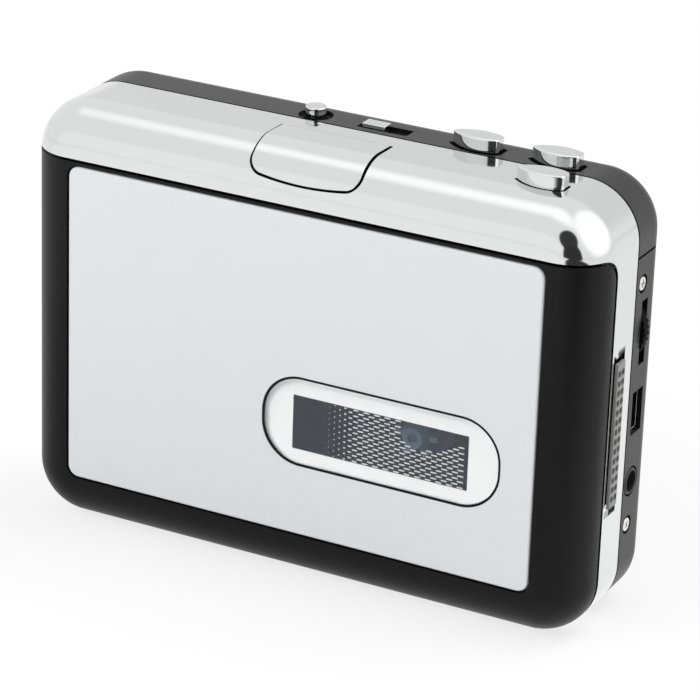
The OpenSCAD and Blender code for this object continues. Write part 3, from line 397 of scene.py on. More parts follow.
# The chrome frame is an ABS moulding with bright chrome plating. It rings the body between the halves,
# wraps over the front's top edge, and has the play key's cut-out, the hinge seats and the slider's channel.
seam = 0.55
side_seam = 0.85
lid_top = body_h - 9.85
lid_rear = -6.02
lid_corner_r = 4.5
lid_corner_steps = 12
play_half = 10.75
play_middle = 0
play_upper = 9.26
play_lower = -3.5
play_gap = 0.45
play_bow = 1
play_bow_steps = 24
play_corner_r = 2.2
play_corner_steps = 10
play_deep = 2.2
inner_side = side - wall - 0.2
hinge = (-inner_side, -6)
barrel_r = 2
barrel_low = 10.5
barrel_top = 67.5
hinge_pin_r = 0.82
seat_len = 4
seat_half = 1.6
seat_deep = 2.4
pocket_r = 2.45
pocket_room = 0.1
slider_bottom = 24.2
slider_top = 51.8
slider_middle = -2.7
slider_half = 1.55
slider_gap = 0.75
slider_travel = 2
slider_fall = 1.5
slider_room = 0.25
slider_floor = 0.6
channel_half = 2.35
tab_x = (inner_side - 1.8, inner_side)
tab_half = 2
tab_front = -3
root_sink = 1.5


def lid_zone(grow):
    """The lid's share of the body, grown by a gap."""
    rear, top = lid_rear + grow * side_seam / seam, lid_top + grow
    form = form_box((-reach, -reach, -reach), (reach, rear, top))
    corner = [e for e in form.edges if on_plane(e, 1, rear) and on_plane(e, 2, top)]
    round_edges(form, corner, lid_corner_r + grow, lid_corner_steps)
    return form


play_slant = Matrix.Rotation(radians(45), 4, "X")
play_place = Matrix.Translation((play_middle, front_r - back, body_h - front_r)) @ play_slant


def play_way(grow):
    """The straight slanted way that the play key is pressed along, grown by a gap."""
    half = play_half + grow
    low, high = play_lower - grow, play_upper + grow / 2
    form = bmesh.new()
    bmesh.ops.create_grid(form, x_segments=1, y_segments=1, size=0.5)
    bmesh.ops.scale(form, vec=(2 * half, high - low, 1), verts=form.verts)
    bmesh.ops.translate(form, vec=(0, (low + high) / 2, -play_deep), verts=form.verts)
    lower_corners = [v for v in form.verts if v.co.y < 0]
    round_corners(form, lower_corners, play_corner_r + grow, play_corner_steps)
    lower = [e for e in form.edges if on_plane(e, 1, low)]
    bmesh.ops.subdivide_edges(form, edges=lower, cuts=play_bow_steps)
    for vert in form.verts:
        if vert.co.y < high - edge_clearance:
            vert.co.y += play_bow * (vert.co.x / half) ** 2
    push(form, form.faces[:], (0, 0, 2 * front_r + play_deep))
    bmesh.ops.recalc_face_normals(form, faces=form.faces)
    bmesh.ops.transform(form, matrix=play_place, verts=form.verts)
    return form


frame_zone = form_box((-reach, -reach, -reach), (reach, band_rear, reach))
frame_cuts = [
    rounded_body(wall),
    lid_zone(seam / 2),
    form_rod((*hinge, barrel_low - seam), (*hinge, lid_top), pocket_r),
    form_box((-reach, -back, barrel_low - seam), (hinge[0], hinge[1] + pocket_r + pocket_room, lid_top)),
    play_way(play_gap),
    oval(stop_at, key_gap, top_seam, 2 * body_h),
    form_box((side - slider_floor, slider_middle - channel_half, slider_bottom - slider_fall - slider_room),
             (reach, slider_middle + channel_half, slider_top + slider_travel + slider_room)),
    form_box((side - 2 * wall, slider_middle - slider_half - slider_gap, slider_bottom + slider_room),
             (reach, slider_middle + slider_half + slider_gap, slider_top + slider_room)),
]
chrome_frame = carve(carve(rounded_body(0), [frame_zone], "INTERSECT"), frame_cuts)
for low in (barrel_low - seam - seat_len, lid_top + seam):
    seat_block = form_box((hinge[0] - seat_half, hinge[1], low),
                          (hinge[0] + seat_half, hinge[1] + seat_deep, low + seat_len))
    seat_barrel = form_rod((*hinge, low), (*hinge, low + seat_len), barrel_r)
    for seat in (seat_block, seat_barrel):
        add(chrome_frame, carve(seat, [rounded_body(seam)], "INTERSECT"))
for sign in (-1, 1):
    for z in screw_heights:
        tab = form_box((tab_x[0], tab_front, z - tab_half), (tab_x[1], screw_y + tab_half, z + tab_half))
        root = form_box((tab_x[1], tab_front, z - tab_half), (side - root_sink, band_rear, z + tab_half))
        for part in (tab, root):
            bmesh.ops.scale(part, vec=(sign, 1, 1), verts=part.verts)
            bmesh.ops.recalc_face_normals(part, faces=part.faces)
        add(chrome_frame, tab, root)
chrome = finish("chrome plating", (0.705, 0.715, 0.71), 0.07, grain=14, bump=0.02, vary=0.01, Metallic=1.0)
piece("chrome_frame", chrome_frame, chrome, "body", "chrome", "chrome_bezel", soft=0.2)

# The lid is a black satin moulding that swings on a pin at its left edge. Its front is sunk for the
# face plate, a thin rim stands round the window, a lip inside shuts the gap to the frame from view,
# and its catch hooks behind the slider.
panel_half = side - 9.5
panel = ((-panel_half, 9.6), (panel_half, lid_top - 1.05))
panel_deep = 0.8
panel_r = 2.2
panel_gap = 0.25
window_middle = (17.35, 31.85)
window_reach = 15.1
window_r = 8.25
window_round = 0.9
window_rim = 0.4
window_deep = 1.3
window_steps = 32
rim_sink = 0.06
view_middle = (17.05, 31.4)
view_half = (17.5, 5.25)
catch = ((inner_side - 1.5, -10, 57), (inner_side, -3.5, 60))
lip_room = 0.1
lip_thick = 0.9
lip_hold = 5
lip_reach = 1.2
hinge_clear = barrel_r + 0.7
barrel_room = 0.1
front = -back
over = 1


def plate_form(low, high, radius, near, far, steps=8):
    """An upright plate with round corners, between two depths."""
    form = form_box((low[0], near, low[1]), (high[0], far, high[1]))
    corners = [e for e in form.edges if abs(e.verts[0].co.y - e.verts[1].co.y) > (far - near) / 2]
    round_edges(form, corners, radius, steps)
    return form


def window_form(grow, near, far):
    """The window's long round shape, between two depths."""
    radius = window_r + grow
    ends = window_reach + radius
    low = (window_middle[0] - ends, window_middle[1] - radius)
    high = (window_middle[0] + ends, window_middle[1] + radius)
    return plate_form(low, high, radius * window_round, near, far, window_steps)


def view_box(near, far):
    """The part of the window that is seen through, as a block between two depths."""
    return form_box((view_middle[0] - view_half[0], near, view_middle[1] - view_half[1]),
                    (view_middle[0] + view_half[0], far, view_middle[1] + view_half[1]))


lid_cuts = [
    rounded_body(wall),
    form_box((-reach, lid_rear - hinge_clear, -reach),
             (hinge[0] + hinge_clear, reach, barrel_low - barrel_room)),
    plate_form((panel[0][0] - panel_gap, panel[0][1] - panel_gap),
               (panel[1][0] + panel_gap, panel[1][1] + panel_gap),
               panel_r + panel_gap, front - over, front + panel_deep),
    window_form(0, front - over, front + window_deep),
    view_box(front - over, front + 2 * wall),
]
lid_cover = carve(carve(rounded_body(0), [lid_zone(-seam / 2)], "INTERSECT"), lid_cuts)
lid_barrel = carve(form_rod((*hinge, barrel_low), (*hinge, barrel_top), barrel_r),
                   [form_rod((*hinge, 0), (*hinge, body_h), hinge_pin_r)])
catch_root = form_box(catch[0], (side - root_sink, lid_rear - 2 * seam, catch[1][2]))
rim = carve(window_form(window_rim, front + rim_sink, front + window_deep),
            [window_form(0, front - over, front + 2 * wall)])
lip_zone = form_box((hinge[0] + 4 * barrel_r, lid_rear - lip_hold, -reach),
                    (reach, lid_rear + lip_reach, lid_top))
lip_block = carve(rounded_body(wall + lip_room), [lip_zone], "INTERSECT")
lip = carve(lip_block, [rounded_body(wall + lip_room + lip_thick)])
add(lid_cover, lid_barrel, form_box(*catch), catch_root, rim, lip)
lid_black = finish("lid black", (0.004, 0.004, 0.0046), 0.38, grain=0.2, bump=0.008, Specular_IOR_Level=0.19)
piece("lid_cover", lid_cover, lid_black, "lid", "lid_black", "lid_shell", soft=0.25)

# The face plate is a thin stamped sheet, painted pale silver with a fine sparkle,
# glued into the lid's recess, with a bright bevelled rim and a cut-out for the window.
panel_edge = 0.55
panel_edge_steps = 6
rim_room = 0.02
panel_plate = plate_form(panel[0], panel[1], panel_r, front, front + panel_deep)
panel_front = [e for e in panel_plate.edges if on_plane(e, 1, front)]
round_edges(panel_plate, panel_front, panel_edge, panel_edge_steps)
panel_plate = carve(panel_plate, [window_form(window_rim + rim_room, front - over, front + over)])
silver = finish("silver paint", (0.71, 0.72, 0.735), 0.45, grain=0.22, bump=0.004, vary=0.05, Metallic=0.12)
piece("face_plate", panel_plate, silver, "lid", "silver_face", "lid_panel", soft=0.1)

# The window is a clear acrylic moulding with a polished front and a soft edge, clipped into the lid.
# Its rear is painted white round the view.
lens_thick = 1.1
lens_room = 0.05
film_gap = 0.02
window = window_form(-lens_room, front, front + lens_thick - film_gap)


def clear_finish(name, colour, clearness, roughness, bending):
    """A see-through plastic with faint haze in its gloss."""
    return finish(name, colour, roughness, grain=3, bump=0.0005, vary=0.02,
                  Transmission_Weight=clearness, IOR=bending)


acrylic = clear_finish("clear acrylic", (0.97, 0.975, 0.98), 1.0, 0.02, 1.42)
window_piece = piece("window", window, acrylic, "lid", "clear_window", "window_lens", soft=0.3)
window_piece.visible_shadow = False
print_thick = 0.2
border = carve(window_form(0, front + lens_thick, front + lens_thick + print_thick), [view_box(front, 0)])
print_white = finish("white print", (0.87, 0.875, 0.87), 0.5, grain=0.3, bump=0.002, vary=0.02)
piece("window_border", border, print_white, "lid", "white_print", "window_print")

# A smoked film closes the view, printed with staggered white dashes that fade to dots and then to nothing
# on the left. A patch over the right-hand spindle is left clear, so that the tape can be seen turning.
film_front = front + lens_thick + 0.06
film_thick = 0.1
film = view_box(film_front, film_front + film_thick)
smoke = clear_finish("smoked film", (0.27, 0.35, 0.44), 0.94, 0.05, 1.02)
film_piece = piece("window_film", film, smoke, "lid", "clear_window")
film_piece.visible_shadow = False
dash_len = 1.2
dash_tall = 0.28
dash_pitch = 2.1
row_pitch = 0.55
dash_thick = 0.04
dash_front = front + lens_thick + 0.05
dash_round = 0.3
dot_least = 0.05
dots_start = -11.6
dashes_start = -7.6
dashes_full = -4.2
patch_from = Vector((7.9, 4.1))
patch_to = Vector((15.6, 5.2))
patch_r = (4.2, 1.7)


def in_patch(spot):
    """Whether a spot of the view lies in the patch that is left clear."""
    along = patch_to - patch_from
    share = min(1, max(0, (spot - patch_from).dot(along) / along.length_squared))
    return (spot - patch_from - along * share).length < patch_r[0] + (patch_r[1] - patch_r[0]) * share


dash = bmesh.new()
bmesh.ops.create_grid(dash, x_segments=1, y_segments=1, size=0.5)
round_corners(dash, dash.verts[:], dash_round, 2)
push(dash, dash.faces[:], (0, 0, 1))
bmesh.ops.rotate(dash, matrix=Matrix.Rotation(pi / 2, 3, "X"), verts=dash.verts)
bmesh.ops.recalc_face_normals(dash, faces=dash.faces)
dashes = bmesh.new()
rows = int(2 * view_half[1] / row_pitch)
columns = int(2 * view_half[0] / dash_pitch) + 1
for row in range(rows):
    for column in range(columns):
        spot = Vector(((column + 0.5 * (row % 2)) * dash_pitch - view_half[0],
                       (row + 0.5) * row_pitch - rows * row_pitch / 2))
        growth = min(1, max(0, (spot.x - dots_start) / (dashes_start - dots_start)))
        tall = dot_least + (dash_tall - dot_least) * growth
        stretch = min(1, max(0, (spot.x - dashes_start) / (dashes_full - dashes_start)))
        long = tall + (dash_len - dash_tall) * stretch
        if growth == 0 or abs(spot.x) + long / 2 > view_half[0] or in_patch(spot):
            continue
        mark = dash.copy()
        bmesh.ops.scale(mark, vec=(long, dash_thick, tall), verts=mark.verts)
        mark_at = (view_middle[0] + spot.x, dash_front, view_middle[1] + spot.y)
        bmesh.ops.translate(mark, vec=mark_at, verts=mark.verts)
        add(dashes, mark)
dash.free()
dash_white = finish("thin white print", (0.6, 0.61, 0.61), 0.55, grain=0.3, bump=0.001, vary=0.04)
dash_piece = piece("window_dashes", dashes, dash_white, "lid", "white_print")
dash_piece.visible_shadow = False

# The play key is a chrome-plated slab that follows the rounded top edge and stands a little proud of it.
# It is pressed in along its slanted way and pushes the head carriage down to the tape.
play_proud = 0.2
play_thick = 1.9
play_crown = 0.3
crown_lift = 0.4
play_drop = 0.4
drop_from = 0.1
painted_shade_slant = -0.3
outward = Vector((0, -sqrt(0.5), sqrt(0.5)))
upward = Vector((0, sqrt(0.5), sqrt(0.5)))
play_centre = play_place.translation


def pillowed(form):
    """A form of the play key with the key's crown and its falling lower lip."""
    for vert in form.verts:
        share = 2 * ((vert.co - play_centre).dot(upward) - play_lower) / (play_upper - play_lower) - 1
        fall = max(0, -share - drop_from) / (1 - drop_from)
        vert.co += outward * (play_crown * (crown_lift - share * share / 2) - play_drop * fall * fall)
    return form


play_block = carve(rounded_body(-play_proud), [play_way(0)], "INTERSECT")
play_cap = pillowed(carve(play_block, [rounded_body(play_thick - play_proud)]))
# Faces of the chrome play key that turn away from its front, its edges and underside, take the painted shade
# black, so that the gap round the key reads dark.
darken(play_cap, -outward, painted_shade_slant)
piece("play_cap", play_cap, chrome, "play_key", "chrome", "play_key", soft=0.25, second=painted_shade_black)

# Stop, rewind and fast-forward are chrome-plated caps with a point on the left and a blunt heel.
# Each has a flange that holds it under the cover, and a stem that runs in the key rail.
key_top = body_h + 2.6
flange_top = body_h - 2.3
flange_low = flange_top - 0.8
flange_grow = 0.7
stem_r = 1
stem_sides = 24
stem_low = extent("stop_key")[0].z
for name, at in (("stop", stop_at), ("rewind", rewind_at), ("forward", forward_at)):
    cap = oval(at, 0, flange_top, key_top)
    flange = oval(at, flange_grow, flange_low, flange_top)
    stem = form_rod((*at, stem_low), (*at, flange_low), stem_r, stem_sides)
    add(cap, flange, stem)
    piece(f"{name}_cap", cap, chrome, f"{name}_key", "chrome", f"{name}_key", soft=0.3)

# The direction button is a small chrome cap that flares up from its neck, standing in a dish of the cover.
# Its flange and stem are those of the keys.
button_top = body_h + 1.75
button_neck = 1.93
button_lip = 0.4
button_edge = 0.2
button_dome = 0.06


def turned(profile, at=(0, 0), steps=48):
    """A closed form turned about an upright axis from a profile of radius and height."""
    form = bmesh.new()
    line = [form.verts.new((radius, 0, z)) for radius, z in profile]
    for one, other in zip(line, line[1:]):
        form.edges.new((one, other))
    bmesh.ops.spin(form, geom=form.verts[:] + form.edges[:], cent=(0, 0, 0), axis=(0, 0, 1),
                   angle=2 * pi, steps=steps, use_merge=True)
    bmesh.ops.remove_doubles(form, verts=form.verts, dist=edge_clearance)
    bmesh.ops.recalc_face_normals(form, faces=form.faces)
    bmesh.ops.translate(form, vec=(*at, 0), verts=form.verts)
    return form


flange_r = button_r + flange_grow
button_stem = [(0, stem_low), (stem_r, stem_low), (stem_r, flange_low)]
button_flange = [(flange_r, flange_low), (flange_r, flange_top), (button_neck, flange_top)]
button_flare = [(button_neck, button_top - 2 * button_lip),
                (button_r - button_edge / 2, button_top - button_lip),
                (button_r, button_top - button_edge)]
button_face = [(button_r - button_edge, button_top),
               (button_r / 2, button_top + button_dome * 2 / 3),
               (0, button_top + button_dome)]
button_cap = turned(button_stem + button_flange + button_flare + button_face, button_at)
piece("button_cap", button_cap, chrome, "direction_button", "chrome", "direction_button", soft=0.12)

# The mode knob is a small bright-plated tile with four short ribs on top,
# clipped on the slide switch under the cover.
knob_low = (1.6, 4.8)
knob_high = (6.1, 7.4)
knob_base = body_h - 0.75
knob_top = body_h + 0.8
knob_ribs = 4
knob_rib = (0.45, 1.1, 0.2)
knob_stem_half = 0.7
knob_stem_room = 0.05
switch_low, switch_high = extent("mode_knob")
knob_stem_low = switch_low.z + knob_stem_room
knob_stem_x = (switch_low.x + switch_high.x) / 2
knob_middle = ((knob_low[0] + knob_high[0]) / 2, (knob_low[1] + knob_high[1]) / 2)
rib_pitch = (knob_high[0] - knob_low[0]) / (knob_ribs + 0.5)
first_rib = knob_middle[0] - (knob_ribs - 1) / 2 * rib_pitch - knob_rib[0] / 2
rib_y = knob_middle[1] - knob_rib[1] / 2


def repeat(form, way, count):
    """Copies a form along a way until there are so many of it."""
    bmesh.ops.spin(form, geom=form.verts[:] + form.edges[:] + form.faces[:], axis=(0, 0, 1), angle=0,
                   dvec=way, steps=count - 1, use_duplicate=True)


rib = form_box((first_rib, rib_y, knob_top - knob_rib[2]),
               (first_rib + knob_rib[0], rib_y + knob_rib[1], knob_top + knob_rib[2]))
repeat(rib, (rib_pitch, 0, 0), knob_ribs)
knob = add(form_box((*knob_low, knob_base), (*knob_high, knob_top)), rib,
           form_box((knob_stem_x - knob_stem_half, knob_middle[1] - knob_stem_half, knob_stem_low),
                    (knob_stem_x + knob_stem_half, knob_middle[1] + knob_stem_half, knob_base)))
silver_plastic = finish("silver plastic", (0.72, 0.73, 0.735), 0.1, grain=0.3, bump=0.002, vary=0.03,
                        Metallic=1.0)
piece("knob_cap", knob, silver_plastic, "mode_knob", "silver_plastic", "mode_knob", soft=0.12)

# The open slider is a mid-grey moulding in the frame's channel, with two rows of dents for the thumb.
# A stem goes through the wall to the foot that holds the lid's catch.
slider_face = side + 0.6
slider_back = side - 0.05
bar_edge = 0.2
bar_edge_steps = 4
dent_count = 14
dent_pitch = 1.84
dent_half = 0.6
dent_deep = 0.55
dent_r = 0.36
dent_steps = 3
dent_land = 0.13
top_land = 2
foot_x = (inner_side - 1.4, inner_side)
foot_y = (-4.05, 0.35)
foot_over = 6
foot_wide = 0.6
latch_thick = 1.4
latch_top = extent("open_slider")[1].z
slider_y = (slider_middle - slider_half, slider_middle + slider_half)
slider_stem_z = (30, 46)
slider_stem_half = 0.7
bar = form_box((slider_back, slider_y[0], slider_bottom), (slider_face, slider_y[1], slider_top))
round_edges(bar, [e for e in bar.edges if on_plane(e, 0, slider_face)], bar_edge, bar_edge_steps)
dent_rows = ((slider_y[0] + bar_edge, slider_middle - dent_land),
             (slider_middle + dent_land, slider_y[1] - bar_edge))
dents = []
for i in range(dent_count):
    z = slider_top - top_land - i * dent_pitch
    for near, far in dent_rows:
        dent = form_box((slider_face - dent_deep, near, z - dent_half), (reach, far, z + dent_half))
        corners = [e for e in dent.edges if abs(e.verts[0].co.x - e.verts[1].co.x) > dent_deep]
        round_edges(dent, corners, dent_r, dent_steps)
        dents.append(dent)
bar = carve(bar, dents)
add(bar,
    form_box((foot_x[0], slider_middle, slider_stem_z[0]),
             (slider_back, slider_middle + 2 * slider_stem_half, slider_stem_z[1])),
    form_box((foot_x[0], foot_y[0] - foot_wide, slider_stem_z[0] - foot_over),
             (foot_x[1], foot_y[1], slider_stem_z[1] + foot_over)),
    form_box((foot_x[0], foot_y[0], slider_stem_z[1]), (foot_x[1], foot_y[0] + latch_thick, latch_top)))
slider_grey = finish("slider grey", (0.25, 0.25, 0.247), 0.45, grain=0.3, bump=0.01)
# The stem, the foot and the latch behind the frame's wall take the painted shade black, so that the gap
# beside the slider reads dark.
for face in bar.faces:
    face.material_index = int(face.calc_center_median().x < slider_back)
piece("slider_bar", bar, slider_grey, "open_slider", "grey_plastic", "open_slider", soft=0.1,
      second=painted_shade_black)

# The volume wheel is a black moulded disc with a notched rim that stands out of its slot in the side.
# It is pressed on the potentiometer's shaft.
wheel_r = (wheel_high.z - wheel_low.z) / 2
wheel_x = wheel_high.x - wheel_r
wheel_z = (wheel_high.z + wheel_low.z) / 2
wheel_notches = 40
wheel_notch = 0.2
wheel_bore_r = 1.54
wheel_sides = 4 * wheel_notches
notch_share = 1 - wheel_notch / wheel_r
wheel = form_rod((wheel_x, wheel_low.y, wheel_z), (wheel_x, wheel_high.y, wheel_z), wheel_r, wheel_sides)
for vert in wheel.verts:
    spoke = Vector((vert.co.x - wheel_x, vert.co.z - wheel_z))
    corner = round(spoke.angle_signed(Vector((1, 0))) * wheel_sides / (2 * pi))
    if corner % 4 < 2:
        vert.co.x = wheel_x + spoke.x * notch_share
        vert.co.z = wheel_z + spoke.y * notch_share
wheel = carve(wheel, [form_rod((wheel_x, 0, wheel_z), (wheel_x, back, wheel_z), wheel_bore_r)])
wheel_black = finish("wheel black", (0.004, 0.004, 0.0042), 0.5, grain=0.3, bump=0.006,
                     Specular_IOR_Level=0.03)
piece("wheel_disc", wheel, wheel_black, "volume_wheel", "dark_plastic", "volume_wheel", soft=0.06)

# Four nickel-plated screws with crossed recesses join the halves, two on either side.
# Each goes through the rear shell into a tab of the chrome frame.
head_r = 1.28
head_in = side - screw_recess
head_out = side
head_rise = 0.12
head_dome = 0.03
shank_r = 0.9
shank_in = tab_x[0]
cross_wide = 0.34
cross_long = 0.8
cross_deep = 0.35
cross_turn = 20
screws = bmesh.new()
for sign in (-1, 1):
    for z in screw_heights:
        screw = turned([(0, shank_in), (shank_r, shank_in), (shank_r, head_in), (head_r, head_in),
                        (head_r, head_out - head_rise), (head_r - head_rise, head_out - head_dome),
                        (0, head_out)])
        arms = [form_box((-half_x, -half_y, head_out - cross_deep), (half_x, half_y, head_out))
                for half_x, half_y in ((cross_long, cross_wide / 2), (cross_wide / 2, cross_long))]
        screw = carve(screw, arms)
        bmesh.ops.rotate(screw, matrix=Matrix.Rotation(radians(cross_turn + z), 3, "Z"), verts=screw.verts)
        bmesh.ops.rotate(screw, matrix=Matrix.Rotation(sign * pi / 2, 3, "Y"), verts=screw.verts)
        bmesh.ops.translate(screw, vec=(0, screw_y, z), verts=screw.verts)
        add(screws, screw)
nickel = finish("nickel", (0.74, 0.72, 0.69), 0.2, grain=0.4, bump=0.003, vary=0.05, Metallic=1.0)
piece("side_screws", screws, nickel, "body", "nickel", "case_screws", soft=0.08)

# The USB outlet is a folded nickel shell, its inside faces painted black as painted shade, round a black
# tongue with five gilt contacts.
# It is soldered to the board behind its opening.
usb_wall = 0.4
usb_floor = 1.8
usb_deep = usb_high.x - usb_low.x - usb_floor
usb_sink = 0.3
usb_cut = 1.1
usb_z = (usb_low.z + usb_high.z) / 2
usb_y = (usb_low.y + usb_high.y) / 2
usb_mouth = usb_high.x - usb_sink
shell = form_box(usb_low, (usb_mouth, usb_high.y, usb_high.z))
round_edges(shell, [e for e in shell.edges if on_plane(e, 1, usb_low.y) and not on_plane(e, 0, usb_low.x)
                    and not on_plane(e, 0, usb_mouth)], usb_cut, 1)
mouth = max(shell.faces, key=lambda f: f.calc_center_median().x)
bmesh.ops.inset_region(shell, faces=[mouth], thickness=usb_wall)
push(shell, [mouth], (-usb_deep, 0, 0))
bmesh.ops.delete(shell, geom=[mouth], context="FACES_ONLY")
bmesh.ops.recalc_face_normals(shell, faces=shell.faces)
shell.normal_update()
shell_middle = Vector(((usb_low.x + usb_mouth) / 2, usb_y, usb_z))
# Faces that look into the shell take the painted shade black.
for face in shell.faces:
    face.material_index = int(face.normal.dot(face.calc_center_median() - shell_middle) < 0)
piece("usb_shell", shell, nickel, "body", "nickel", "usb_socket", soft=0.08, second=painted_shade_black)
tongue_half = (usb_high.z - usb_low.z) / 4
tongue_thick = 0.7
tongue_sink = 0.6
tongue_y = (usb_y - tongue_thick / 2, usb_y + tongue_thick / 2)
tongue_x = (usb_low.x + usb_wall, usb_mouth - tongue_sink)
tongue = form_box((tongue_x[0], tongue_y[0], usb_z - tongue_half),
                  (tongue_x[1], tongue_y[1], usb_z + tongue_half))
black_plastic = finish("black plastic", (0.018, 0.018, 0.019), 0.45, grain=0.3, bump=0.008)
piece("usb_tongue", tongue, black_plastic, "body", "dark_plastic", soft=0.1)
contact_count = 5
contact_wide = 0.3
contact_pitch = 0.8
contact_proud = 0.08
contact_hold = 0.05
contact_sink = 0.3
contact_z = usb_z - (contact_count - 1) / 2 * contact_pitch
contact = form_box((tongue_x[0], tongue_y[0] - contact_proud, contact_z - contact_wide / 2),
                   (tongue_x[1] - contact_sink, tongue_y[0] + contact_hold, contact_z + contact_wide / 2))
repeat(contact, (0, 0, contact_pitch), contact_count)
gilt = finish("gilt contacts", (0.83, 0.62, 0.28), 0.25, grain=0.3, bump=0.002, Metallic=1.0)
piece("usb_contacts", contact, gilt, "body", "brass", soft=0.03)

# The headphone socket is a black moulding on the board, bored for the plug.
# Its round nose fills its hole in the shell.
jack_r = 2
nose_r = 2.5
nose_lip = 0.25
nose_proud = 0.15
jack_half = 2.55
jack_face = side + nose_proud
jack_shoulder = side - 2.3
jack_bore = 12.8
jack_block = form_box((jack_low.x, jack_y - jack_half, jack_z - jack_half),
                      (jack_shoulder, jack_y + jack_half, jack_z + jack_half))
plug_way = form_rod((jack_face - jack_bore, jack_y, jack_z), (reach, jack_y, jack_z), jack_r)
jack_box = carve(jack_block, [plug_way])
nose = turned([(jack_r, jack_shoulder), (nose_r, jack_shoulder), (nose_r, jack_face - nose_lip),
               (nose_r - nose_lip, jack_face), (jack_r + nose_lip / 3, jack_face),
               (jack_r, jack_face - nose_lip / 3), (jack_r, jack_shoulder)])
bmesh.ops.rotate(nose, matrix=Matrix.Rotation(pi / 2, 3, "Y"), verts=nose.verts)
bmesh.ops.translate(nose, vec=(0, jack_y, jack_z), verts=nose.verts)
piece("jack_body", add(jack_box, nose), black_plastic, "body", "dark_plastic", "headphone_jack", soft=0.08)

# The battery door lies flush in the shell's back and lifts off. It is moulded from the same black ABS,
# with a field of grip grooves at its middle.
door_r = 2
grip_count = 6
grip_half = 9
grip_pitch = 1.5
grip_deep = 0.35
grip_sides = 16
grip_y = back + grip_deep
door_block = plate_form((door_low.x, door_low.z), (door_high.x, door_high.z), door_r, door_low.y, 2 * back)
door = carve(rounded_body(0), [door_block], "INTERSECT")
door_z = (door_low.z + door_high.z) / 2
grips = []
for i in range(grip_count):
    grip_z = door_z + (i - (grip_count - 1) / 2) * grip_pitch
    grip = form_rod((-grip_half, grip_y, grip_z), (grip_half, grip_y, grip_z), 2 * grip_deep, grip_sides)
    grips.append(grip)
door = carve(door, grips)
piece("door_plate", door, rear_black, "battery_door", "rear_black", "battery_door", soft=0.15)

# Behind the lid lies the well's floor with the battery tray behind it, both black mouldings,
# and the small black cases of the potentiometer, the slide switch and the board's parts.
def dress(material, *names):
    """Gives CAD nodes a finish."""
    for name in names:
        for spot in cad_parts[name].material_slots:
            spot.material = material


dress(finish("well black", (0.015, 0.015, 0.016), 0.5, grain=0.3, bump=0.015), "well_floor", "battery_tray")
dress(black_plastic, "volume_pot", "mode_switch", "board_parts")

# The deck, its bridge, the key rail and the head carriage are stamped from zinc-plated sheet steel,
# with the rolling grain along the sheet. The motor's can is drawn from the same sheet.
zinc = finish("zinc sheet", (0.55, 0.56, 0.57), 0.32, grain=0.5, bump=0.004, vary=0.08, stretch=(0.05, 1, 1),
              Metallic=1.0)
dress(zinc, "deck_plate", "bridge_plate", "key_rail", "head_plate", "pinch_arms", "motor")

# Posts, the hinge pin and the capstans are ground steel, and so is the tape head's polished case.
# The grinding leaves fine rings round the rods.
ground_steel = finish("ground steel", (0.68, 0.68, 0.69), 0.14, grain=0.3, bump=0.001, vary=0.04,
                      stretch=(1, 4, 4), Metallic=1.0)
dress(ground_steel, "bridge_posts", "reel_posts", "hinge_pin", "left_capstan", "right_capstan", "tape_head")

# Gears and spindles are moulded from white nylon, which is a little waxy and lets some light in.
# The tape's hubs sit on the spindles' wings.
nylon = finish("white nylon", (0.78, 0.77, 0.73), 0.42, grain=0.6, bump=0.004, vary=0.03,
               Subsurface_Weight=0.1, Subsurface_Scale=0.001)
dress(nylon, "drive_pinion", "idler_gear", "supply_spindle", "supply_gear", "takeup_spindle", "takeup_gear")

# Deck screws and battery contacts are nickel-plated, like the case screws.
# The springs are wound or bent from blank spring wire with a drawn finish.
dress(nickel, "deck_screws", "battery_contacts")
spring_wire = finish("spring wire", (0.5, 0.5, 0.51), 0.28, grain=0.2, bump=0.002, vary=0.06, Metallic=1.0)
dress(spring_wire, "battery_spring", "cassette_springs")

# Coil springs lift the keys, the button and the head carriage back up. Each is wound from spring wire
# with a closed turn at either end, stands on the rail or the deck's ledge, and is pressed from above.
key_wire_r = 0.22
key_turns = 3
head_wire_r = 0.2
head_turns = 7
end_room = 0.03
end_pitch = 2.2
wire_sides = 8
turn_steps = 20


def coil(name, wire_r, turns):
    """A coil spring in the place of the CAD one."""
    low, high = extent(name)
    middle = (low + high) / 2
    outer_r = (high.x - low.x) / 2
    form = bmesh.new()
    bmesh.ops.create_circle(form, segments=wire_sides, radius=wire_r)
    bmesh.ops.rotate(form, matrix=Matrix.Rotation(pi / 2, 3, "X"), verts=form.verts)
    bmesh.ops.translate(form, vec=(outer_r - wire_r, 0, low.z + wire_r + end_room), verts=form.verts)
    end = form.verts[:] + form.edges[:]
    closed_rise = end_pitch * wire_r
    open_rise = high.z - low.z - 2 * (wire_r + end_room + closed_rise)
    for count, rise in ((1, closed_rise), (turns, open_rise), (1, closed_rise)):
        steps = turn_steps * count
        wound = bmesh.ops.spin(form, geom=end, cent=(0, 0, 0), axis=(0, 0, 1), angle=2 * pi * count,
                               steps=steps, dvec=(0, 0, rise / steps))
        end = wound["geom_last"]
    bmesh.ops.holes_fill(form, edges=[e for e in form.edges if e.is_boundary], sides=wire_sides)
    bmesh.ops.recalc_face_normals(form, faces=form.faces)
    bmesh.ops.translate(form, vec=(middle.x, middle.y, 0), verts=form.verts)
    spring = piece(f"{name}_coil", form, spring_wire, "body", "spring_steel", name)
    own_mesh(spring)


for key in ("stop", "rewind", "forward", "direction"):
    coil(f"{key}_spring", key_wire_r, key_turns)
coil("head_spring", head_wire_r, head_turns)

# Flywheels, the motor's pulley and the capstans' bushes are turned brass.
# The turning leaves a fine grain on their faces.
brass = finish("turned brass", (0.72, 0.53, 0.24), 0.26, grain=0.25, bump=0.002, vary=0.06, Metallic=1.0)
dress(brass, "capstan_bushes", "left_flywheel", "right_flywheel", "motor_pulley")

